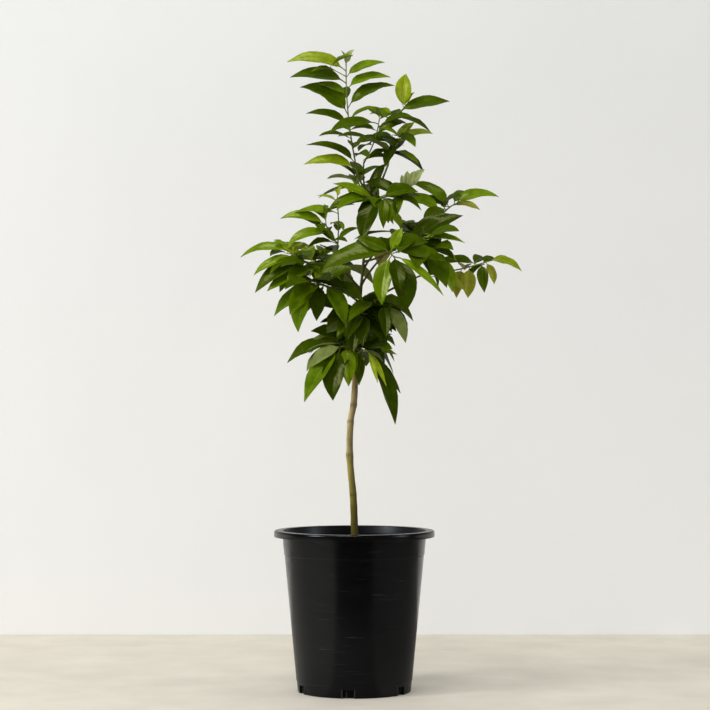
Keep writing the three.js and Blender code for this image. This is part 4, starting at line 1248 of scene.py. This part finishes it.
def stalkPath(leaf, age):
    # A leaf stalk that leaves the twig along it, then turns out to the blade's neck
    twig = leaf.shoot["limb"].tangentAt(leaf.along)
    reach = (leaf.neck - leaf.foot).length
    ahead = stems["stalkAhead"]
    (footSwell, footFade), (neckSwell, neckFade) = stems["stalkFoot"], stems["stalkNeck"]
    bend = leaf.foot + (twig * ahead + leaf.out * (1 - ahead)) * reach * 0.5
    path = []
    for share, spot in curved(leaf.foot, bend, leaf.neck, stems["stalkSteps"]):
        swelling = footSwell * math.exp(-share * footFade) + neckSwell * math.exp(-(1 - share) * neckFade)
        girth = stems["stalkRadius"] * leaf.blade / stems["stalkBlade"] * (1 + swelling)
        path.append((spot, girth, age, 0))
    end, thinner = stems["stalkEnd"]
    path.append((leaf.pointAt(end), stems["stalkRadius"] * thinner, age, 0))
    return path


# Leaves: fine blades on the rule's middle lines, closed skins with a raised rib below

leafLook = {
    # Each kind of leaf: its half width at shares of its length, and the steps from its rib to its edge
    "full": ([(0, 0.03), (0.035, 0.13), (0.09, 0.4), (0.17, 0.7), (0.27, 0.91), (0.38, 1), (0.5, 0.99),
              (0.62, 0.88), (0.73, 0.7), (0.83, 0.46), (0.91, 0.24), (0.965, 0.1)], (0.36, 0.72, 1)),
    "fine": ([(0, 0.04), (0.1, 0.45), (0.28, 0.92), (0.5, 1), (0.7, 0.74), (0.88, 0.3)], (1,)),
    "ribHalf": 0.55, "ribDeep": 0.5, "ribWidest": 0.22, "ribNarrows": 1.25, "ribFades": 1.1,
    "leastHalf": 0.75, "thickness": 0.5, "footThick": (1.6, 22),
    # Each draw: the least and what is added at the most
    "fold": (0.45, 0.9), "waves": (1.4, 1.3), "swell": (0.4, 0.9), "skew": (0.9, 0.25), "bow": (0.5, 0.35),
    "seeds": (917, 31, 7),
    "foldHigh": 0.42, "waveHigh": 0.065, "waveLag": 1.9, "twist": 0.45, "twistFrom": 0.25, "sway": 0.07,
    "ribMap": (0.48, 0.52), "sharpFrom": 58,
    "veins": 9, "veinBow": 0.8, "veinSlope": -0.42,
    "veinLine": (0.0, 0.09, 1, 0), "veinBulge": (0.0, 0.5, 0, 1),
    "cloudScale": 75, "cloudDetail": 3, "clouds": (0.3, 0.7, 0.78, 1.2), "dullSpan": (0.35, 0.65),
    "sheen": (0.9, 0.9, 0.35, 1), "dull": 0.06,
    "relief": 0.06,
    # How far the veins show above and below, and how the rib and the underside differ from the blade
    "veinsAbove": 0.12, "veinsBelow": 0.16, "ribRougher": 0.1, "ribRelief": 0.5,
    "roughBelow": 0.55, "shineBelow": 0.3, "reliefBelow": 1.5,
}

# Each tone: its colour above, along the rib and below, its roughness, its stalk's age, and its shine; from
# bright to
# # deep the colours are partly the leaves' own by age and partly painted light and shade
leafTones = {
    "bright": ((136, 154, 22), (170, 184, 66), (150, 164, 66), 0.24, 0.12, 0.42),
    "fresh": ((110, 137, 10), (138, 162, 44), (128, 144, 60), 0.21, 0.3, 0.48),
    "mid": ((90, 116, 6), (108, 132, 32), (108, 124, 54), 0.19, 0.45, 0.45),
    "dark": ((70, 90, 4), (82, 102, 22), (92, 106, 50), 0.18, 0.6, 0.28),
    "deep": ((50, 65, 3), (58, 74, 16), (74, 88, 42), 0.18, 0.7, 0.2),
    "bronze": ((134, 140, 40), (150, 138, 60), (130, 122, 56), 0.34, 0.7, 0.3),
    "pale": ((154, 164, 104), (170, 178, 118), (146, 156, 98), 0.4, 0.05, 0.3),
    "lime": ((172, 190, 58), (190, 202, 90), (160, 174, 80), 0.3, 0.05, 0.35),
    "under": ((120, 134, 72), (126, 136, 78), (110, 122, 66), 0.45, 0.5, 0.2),
}
# Painted shade: the tone a step darker that finer leaves within a mass take
innerShadeTone = {
    "bright": "mid", "fresh": "mid", "mid": "dark", "dark": "deep", "deep": "deep", "bronze": "dark",
    "pale": "mid", "under": "dark", "lime": "fresh",
}

# One word a leaf, from the foot of each shoot to its tip; each word follows how lit each leaf looks, so the
# words
# # paint light and shade as well as the leaves' own colour
sprayTones = {
    "top_left": ["bright dark dark mid mid dark mid dark mid dark dark mid mid fresh dark fresh bright pale"],
    "top_middle": ["dark mid dark mid dark mid dark", "dark dark mid fresh dark bright"],
    "top_right": ["deep dark deep dark dark mid mid mid deep lime bright lime"],
    "young_shoot": ["mid pale pale pale pale"],
    "upper_right": ["fresh mid dark mid bronze mid fresh"],
    "right_middle": ["deep mid dark deep dark deep fresh deep under", "mid deep fresh"],
    "right_arm": ["bronze bronze bronze dark dark dark bronze bright", "bronze bronze"],
    "centre_front": ["dark dark dark dark dark fresh mid deep fresh deep"],
    "centre_upper": ["fresh dark deep deep dark mid dark"],
    "left_arm": ["mid fresh fresh bright mid dark", "fresh bright dark bright mid fresh", "dark mid"],
    "left_upright": ["mid mid fresh fresh fresh mid bright", "dark fresh mid fresh mid mid"],
    "left_lower": ["dark deep mid mid mid mid deep deep"],
    "middle_front": ["deep under deep deep deep deep deep deep"],
    "right_lower": ["dark deep deep under deep"],
    "lower_left": ["fresh dark mid mid dark fresh under under under deep"],
    "lower_right": ["dark mid dark deep deep deep bright bright"],
    "lower_back": ["deep dark dark deep deep dark mid dark"],
    "back_left": ["dark dark dark mid bronze dark dark fresh mid"],
    "back_right": ["dark dark bronze dark deep mid dark mid fresh"],
    "upper_back": ["mid mid dark mid fresh dark dark dark dark"],
}

# Leaves that are much slimmer than their spray's others, with the share of width that they keep
slimmerLeaves = {
    "centre_front": {8: 0.5}, "centre_upper": {0: 0.55, 6: 0.7}, "right_middle": {6: 0.55, 8: 0.5},
    "lower_right": {3: 0.8, 5: 0.72, 6: 0.6, 7: 0.55},
}

# Single leaves that the photograph shows beside the solids' own: mass, shoot, how far along it, heading,
# rise, droop, length, slimness and tone
placedLeaves = [
    ("lower_left", 0, 0.96, 208, -56, 24, 98, 0.34, "mid"),
    ("lower_left", 0, 0.5, 184, -14, 62, 70, 0.4, "under"),
    ("left_upright", 0, 0.1, 178, 30, 30, 44, 0.34, "mid"),
    ("top_left", 0, 1.0, -20, 56, 40, 26, 0.5, "pale"),
    ("left_arm", 1, 0.7, 186, 34, 20, 28, 0.34, "bright"),
]

# Finer sprays that fill a mass: how many, small leaves at each shoot's tip, least and most length, and rise
fillSprays = {
    "top_left": (1, 2, 26, 42, "level"), "top_middle": (2, 2, 44, 66, "level"),
    "top_right": (2, 2, 44, 68, "level"), "young_shoot": (0, 0, 20, 30, "hanging"),
    "upper_right": (1, 0, 40, 60, "level"), "right_middle": (5, 0, 46, 76, "hanging"),
    "right_arm": (1, 0, 34, 50, "hanging"), "centre_front": (6, 0, 48, 80, "hanging"),
    "centre_upper": (5, 0, 46, 74, "hanging"), "left_arm": (4, 2, 36, 62, "hanging"),
    "left_upright": (2, 2, 28, 42, "level"), "left_lower": (4, 0, 46, 74, "hanging"),
    "middle_front": (5, 0, 50, 80, "hanging"), "right_lower": (4, 0, 48, 76, "hanging"),
    "lower_left": (3, 0, 46, 76, "hanging"), "lower_right": (3, 0, 46, 78, "hanging"),
    "lower_back": (7, 0, 50, 80, "hanging"), "back_left": (8, 2, 46, 76, "hanging"),
    "back_right": (6, 2, 46, 76, "hanging"), "upper_back": (0, 2, 40, 64, "level"),
}
fillRule = {
    "tries": 14, "nearest": 5, "furthest": 26, "reachShare": 0.97, "between": (0.04, 0.92), "leavesEach": 2,
    "level": (-34, 26), "hanging": (-58, 22), "droop": 30, "outward": 0.35, "lean": 0.8, "placedOutward": 0.3,
    # Finer twigs and the ones at a tip: least and most length, and how much they run on and turn aside
    "twig": (10, 30, 0.35, 0.8), "tipTwig": (6, 11, 1.0, 0.15), "upward": 0.35, "bow": (0, 0, -0.6),
    "wide": (1.6, 1.1), "step": 6, "lastSpot": 0.999, "seeds": (211, 99),
    "turnEach": 137, "turnStray": (20, 40), "tipRise": (20, 36), "tipBlade": (13, 22), "slim": (0.42, 0.12),
    "leafFrom": (0.6, 0.4),
    "spotsAlong": (0.1, 0.35, 0.6, 0.8, 1), "spotsAside": 0.35, "widestAt": 0.45, "numbersFrom": 100,
}


class LeafStore:
    # Points, faces, UVs and materials of many leaves, joined into one mesh
    def __init__(self):
        self.points = []
        self.faces = []
        self.corners = []
        self.kinds = []

    def addLeaf(self, leaf, slotIndex):
        byShoot, byLeaf, start = leafLook["seeds"]
        draw = seededRandom(leaf.shoot["seed"] * byShoot + leaf.number * byLeaf + start)
        fold = leafLook["foldHigh"] * drawn(draw, *leafLook["fold"])
        phase = next(draw) * math.tau
        waves = drawn(draw, *leafLook["waves"])
        swell = leafLook["waveHigh"] * drawn(draw, *leafLook["swell"])
        skew = drawn(draw, *leafLook["skew"])
        twist = (next(draw) - 0.5) * leafLook["twist"]
        sway = (next(draw) - 0.5) * leafLook["sway"] * leaf.blade
        bow = drawn(draw, *leafLook["bow"])
        slimmer = slimmerLeaves.get(leaf.shoot["mass"], {}).get(leaf.number, 1)
        outline, steps = leafLook["fine" if leaf.isFine else "full"]
        thicker, fade = leafLook["footThick"]
        rings = []
        for share, spread in outline:
            along = share ** skew
            half = max(leaf.width / 2 * spread * slimmer, leafLook["leastHalf"])
            tangent = leaf.tangentAt(along)
            flat = tangent.cross(leaf.facing).normalized()
            above = flat.cross(tangent)
            turn = twist * (along - leafLook["twistFrom"])
            side = flat * math.cos(turn) + above * math.sin(turn)
            upper = above * math.cos(turn) - flat * math.sin(turn)
            centre = leaf.pointAt(along) + side * (sway * 4 * along * (1 - along))
            ribHalf = leafLook["ribHalf"] * (leafLook["ribNarrows"] - along) / half
            ribHalf = min(ribHalf, leafLook["ribWidest"])
            across = [-step for step in reversed(steps)] + [-ribHalf, ribHalf] + list(steps)
            thick = leafLook["thickness"] * (1 + thicker * math.exp(-share * fade)) / 2
            top, low = [], []
            for step in across:
                size = abs(step)
                height = fold * half * (size * (1 + bow) - size * size * bow)
                wave = math.sin(along * waves * math.tau + phase + (step > 0) * leafLook["waveLag"])
                height += swell * half * size * size * wave
                point = centre + side * (half * step) + upper * height
                skin = thick * (1 - size ** 3)
                rib = leafLook["ribDeep"] * (leafLook["ribFades"] - along) if size <= ribHalf else 0
                top.append(point + upper * skin)
                low.append(point - upper * (skin + rib))
            rings.append(top + low[-2:0:-1])
        self.addSkin(rings, leaf.pointAt(1), slotIndex, [share for share, spread in outline] + [1], steps)

    def addSkin(self, rings, tip, slotIndex, heights, steps):
        # Closed skin with both sides split along the same diagonals; three materials: blade, rib, underside
        sides = len(rings[0])
        wide = len(steps) * 2 + 2
        first = len(self.points)
        left = [0.5 - 0.5 * step for step in reversed(steps)]
        shares = left + list(leafLook["ribMap"]) + [0.5 + 0.5 * step for step in steps]
        columns = shares + shares[-2:0:-1]
        ribStrips = (wide // 2 - 1, wide - 1 + wide // 2 - 1)
        for ring in rings:
            self.points += ring
        self.points.append(tip)

        def add(material, spots):
            # One face, from the place in the skin and the place in the map of each corner
            self.faces.append(tuple(first + index for index, spot in spots))
            self.kinds.append(slotIndex + material)
            self.corners += [spot for index, spot in spots]

        def corner(ring, side):
            return ring * sides + side, (columns[side], heights[ring])

        last = len(rings) - 1
        end = ((last + 1) * sides, (0.5, 1))
        kinds = [1 if side in ribStrips else 0 if side < wide - 1 else 2 for side in range(sides)]
        for ring in range(last):
            for side, kind in enumerate(kinds):
                after = (side + 1) % sides
                here, beside = corner(ring, side), corner(ring, after)
                over, across = corner(ring + 1, side), corner(ring + 1, after)
                if side < wide - 1:
                    add(kind, (here, beside, across))
                    add(kind, (here, across, over))
                else:
                    add(kind, (here, beside, over))
                    add(kind, (beside, across, over))
        for side, kind in enumerate(kinds):
            add(kind, (corner(last, side), corner(last, (side + 1) % sides), end))
        for side in range(1, sides - 1):
            add(2, [(index, (0.5, 0)) for index in (0, side + 1, side)])

    def mesh(self, name, materials):
        mesh = bpy.data.meshes.new(name)
        mesh.from_pydata([point * metre for point in self.points], [], self.faces)
        for material in materials:
            mesh.materials.append(material)
        mesh.polygons.foreach_set("material_index", self.kinds)
        layer = mesh.uv_layers.new(name="leafMap")
        layer.data.foreach_set("uv", [value for corner in self.corners for value in corner])
        mesh.shade_smooth()
        mesh.set_sharp_from_angle(angle=math.radians(leafLook["sharpFrom"]))
        return mesh


def buildLeafSurface():
    # Veins that run out and forward from the rib, and a light mottle between them
    tree, given, out = newGroup("leafSurface", "ShaderNodeTree", {
        "Blade": ("Color", (0.1, 0.2, 0.05, 1)), "Vein": ("Color", (0.2, 0.3, 0.1, 1)),
        "Veins": ("Float", 9.0), "Strength": ("Float", 0.35),
        "Gloss": ("Float", 0.3), "Dull": ("Float", 0.45),
    }, {"Color": "Color", "Height": "Float", "Roughness": "Float"})
    spot = parts(tree, addNode(tree, "ShaderNodeUVMap", uv_map="leafMap").outputs[0])
    away = maths(tree, "ABSOLUTE", maths(tree, "SUBTRACT", spot["X"], 0.5))
    bowed = maths(tree, "POWER", away, leafLook["veinBow"])
    slope = maths(tree, "MULTIPLY_ADD", bowed, leafLook["veinSlope"], spot["Y"])
    saw = maths(tree, "PINGPONG", multiplied(tree, slope, given["Veins"]), 0.5)
    line = ranged(tree, saw, leafLook["veinLine"], interpolation_type="SMOOTHSTEP")
    clouds = cloud(tree, objectPlace(tree), leafLook["cloudScale"], leafLook["cloudDetail"])
    lighter = mixed(tree, multiplied(tree, line, given["Strength"]), given["Blade"], given["Vein"])
    return closeGroup(tree, out, {
        "Color": scaled(tree, lighter, ranged(tree, clouds, leafLook["clouds"])),
        "Height": ranged(tree, saw, leafLook["veinBulge"], interpolation_type="SMOOTHERSTEP"),
        "Roughness": ranged(tree, clouds, (*leafLook["dullSpan"], given["Gloss"], given["Dull"])),
    })


leafSurface = buildLeafSurface()


def leafMaterial(name, colour, vein, strength, gloss, deep, shine):
    material, tree = newMaterial(name)
    surface = placeGroup(tree, leafSurface, {
        "Blade": linear(*colour), "Vein": linear(*vein), "Veins": leafLook["veins"], "Strength": strength,
        "Gloss": gloss, "Dull": gloss + leafLook["dull"],
    })
    return closeMaterial(material, surface["Height"], deep, surface["Color"], surface["Roughness"],
                         shine=shine, tint=leafLook["sheen"])


def leafMaterials():
    # Blade, rib and underside of each tone, in that order
    made = []
    look = leafLook
    deep = look["relief"]
    for tone, (top, rib, under, rough, age, shine) in leafTones.items():
        made.append(leafMaterial(tone + "Blade", top, rib, look["veinsAbove"], rough, deep, shine))
        made.append(leafMaterial(tone + "Rib", rib, rib, 0, rough + look["ribRougher"],
                                 deep * look["ribRelief"], shine))
        made.append(leafMaterial(tone + "Under", under, rib, look["veinsBelow"], look["roughBelow"],
                                 deep * look["reliefBelow"], look["shineBelow"]))
    return made


def toneOf(leaf):
    # A leaf's own tone, or a finer leaf's from the leaves about it, a step darker within the mass as painted
    # shade
    if leaf.tone:
        return leaf.tone
    tones = sprayTones[leaf.shoot["mass"]][leaf.shoot["seed"] % 10].split()
    if not leaf.isFine:
        return tones[leaf.number]
    nearest = tones[min(int(leaf.share * len(tones)), len(tones) - 1)]
    if leaf.isTip:
        return nearest
    darker = innerShadeTone[nearest]
    return "dark" if darker == "deep" and leaf.number % 2 else darker


def leafSpots(leaf):
    # Points over a blade, for keeping others clear of it
    spots = [leaf.pointAt(share) for share in fillRule["spotsAlong"]]
    side = leaf.tangentAt(0.5).cross(leaf.facing).normalized() * leaf.width * fillRule["spotsAside"]
    widest = leaf.pointAt(fillRule["widestAt"])
    return spots + [widest + side, widest - side]


def growSpray(shoot, spot, draw, isTip):
    # One finer twig with its leaves, drawn at random
    limb = shoot["limb"]
    count, tips, low, high, rises = fillSprays[shoot["mass"]]
    shortest, longest, onward, aside = fillRule["tipTwig" if isTip else "twig"]
    turn = next(draw) * math.tau
    side = Vector((math.cos(turn), math.sin(turn), next(draw) - fillRule["upward"]))
    ahead = limb.tangentAt(spot) * onward + side * aside
    end = limb.curveAt(spot) + ahead.normalized() * drawn(draw, shortest, longest - shortest)
    start = min(spot, fillRule["lastSpot"])
    twig = BowedLimb(limb, start, end, fillRule["bow"], fillRule["wide"], fillRule["step"])
    less, more = fillRule["turnStray"]
    steepest, flattest = fillRule[rises]
    grown = []
    if isTip:
        low, high = fillRule["tipBlade"]
    for index in range(tips if isTip else fillRule["leavesEach"]):
        heading = math.degrees(turn) + index * fillRule["turnEach"] + more * next(draw) - less
        rise = drawn(draw, *fillRule["tipRise"]) if isTip else drawn(draw, steepest, flattest - steepest)
        blade = drawn(draw, low, high - low)
        width = blade * drawn(draw, *fillRule["slim"])
        first, each = fillRule["leafFrom"]
        leaf = LeafPlan({**shoot, "limb": twig}, first + each * index, spot, heading, rise, fillRule["droop"],
                        blade, width)
        leaf.faceLight(fillRule["outward"], shoot["lean"] * fillRule["lean"])
        leaf.isFine = True
        leaf.isTip = isTip
        grown.append(leaf)
    return twig, grown


def growPlacedLeaves(shoots):
    placed = []
    for mass, number, along, heading, rise, droop, blade, slim, tone in placedLeaves:
        shoot = [other for other in shoots if other["mass"] == mass][number]
        leaf = LeafPlan(shoot, along, along, heading, rise, droop, blade, blade * slim)
        leaf.faceLight(fillRule["placedOutward"], shoot["lean"])
        leaf.tone = tone
        placed.append(leaf)
    return placed


def roomOf(spray, shoot, taken, added):
    # How far a spray's leaves are from others, or 0 where one is past the mass's reach or out on its own
    room = math.inf
    for leaf in spray[1]:
        for point in leafSpots(leaf)[1:]:
            clear = min([taken.find(point)[2]] + [(point - other).length for other in added])
            reached = (point - shoot["foot"]).length
            if reached > shoot["reach"] * fillRule["reachShare"] or clear > fillRule["furthest"]:
                clear = 0
            room = min(room, clear)
    return room


def growFineSprays(shoots, leaves):
    # Finer twigs with leaves that fill each mass within its reach, clear of the leaves that are there
    twigs = []
    fine = growPlacedLeaves(shoots)
    taken = [spot for leaf in leaves + fine for spot in leafSpots(leaf)]
    for shoot in shoots:
        byShoot, start = fillRule["seeds"]
        draw = seededRandom(shoot["seed"] * byShoot + start)
        sprays, tips = fillSprays[shoot["mass"]][:2]
        total = sum(other["limb"].length for other in shoots if other["mass"] == shoot["mass"])
        count = round(sprays * shoot["limb"].length / total)
        kept = [growSpray(shoot, 1.0, draw, True)] if tips else []
        tree = treeOf(taken)
        added = []
        first, span = fillRule["between"]
        for index in range(count):
            best, most = None, -1
            for attempt in range(fillRule["tries"]):
                spray = growSpray(shoot, (index + next(draw)) / count * span + first, draw, False)
                room = roomOf(spray, shoot, tree, added)
                if room > most:
                    best, most = spray, room
            if most >= fillRule["nearest"]:
                kept.append(best)
                added += [spot for leaf in best[1] for spot in leafSpots(leaf)]
        for twig, grown in kept:
            twigs.append(twig)
            fine += grown
        taken += added
    for number, leaf in enumerate(fine):
        leaf.number = fillRule["numbersFrom"] + number
    return twigs, fine


def buildWood(limbs, shoots, fineTwigs, allLeaves):
    # The bark of trunk, boughs and twigs, and the leaf stalks
    sweep = buildStemTree()
    tan, green = stemMaterial("tanBark"), stemMaterial("greenBark")
    finishPiece(sweepPaths(sweep, "barkTrunk", [trunkPath(limbs["trunk"])], tan), "bark", ["trunk"])
    paths = []
    for index, name in enumerate(boughs):
        ages = stems["youngWood" if name in stems["youngLimbs"] else "olderWood"]
        paths.append(limbPath(limbs[name], stems["limbStep"], ages, stems["boughSeed"] + index))
    wood = sweepPaths(sweep, "greenBoughs", paths, green)
    finishPiece(wood, "green_bark", ["bough_" + name for name in boughs])
    paths = []
    for index, shoot in enumerate(shoots):
        ages = stems["youngTwig" if shoot["mass"] in stems["youngMasses"] else "olderTwig"]
        paths.append(limbPath(shoot["limb"], stems["limbStep"], ages, stems["twigSeed"] + index))
    for index, twig in enumerate(fineTwigs):
        paths.append(limbPath(twig, stems["fineStep"], stems["fineTwig"], stems["fineSeed"] + index))
    finishPiece(sweepPaths(sweep, "twigs", paths, green), "green_bark")
    stalks = [stalkPath(leaf, leafTones[toneOf(leaf)][4]) for leaf in allLeaves]
    finishPiece(sweepPaths(sweep, "leafStalks", stalks, green), "green_bark")


def buildLeaves(allLeaves):
    # One piece for each slot that the record gives the foliage masses
    tones = list(leafTones)
    materials = leafMaterials()
    slots = {entry.get("node") or entry.get("name"): entry.get("material_slot")
             for entry in frame["record"]["subparts"]}
    pieces = {"leaf_young": "youngLeaves", "leaf_mid": "greenLeaves", "leaf_dark": "darkLeaves"}
    for slot, name in pieces.items():
        inSlot = [mass for mass in masses if slots.get(nodeOf(mass)) == slot]
        store = LeafStore()
        for leaf in allLeaves:
            if leaf.shoot["mass"] in inSlot:
                store.addLeaf(leaf, tones.index(toneOf(leaf)) * 3)
        finishPiece(addObject(name, store.mesh(name, materials)), slot, [nodeOf(mass) for mass in inSlot])


def buildPlant():
    limbs = growLimbs()
    shoots = growShoots(limbs)
    leaves = growLeaves(shoots)
    fineTwigs, fine = growFineSprays(shoots, leaves)
    print("stage: grown", len(shoots), "shoots,", len(leaves), "leaves,", len(fineTwigs), "fine twigs,",
          len(fine), "fine leaves")
    buildWood(limbs, shoots, fineTwigs, leaves + fine)
    buildLeaves(leaves + fine)


buildCamera()
buildStudio()
print("stage: camera and studio")
buildPot()
buildSoil()
print("stage: pot and potting mix")
buildPlant()
print("stage: plant")
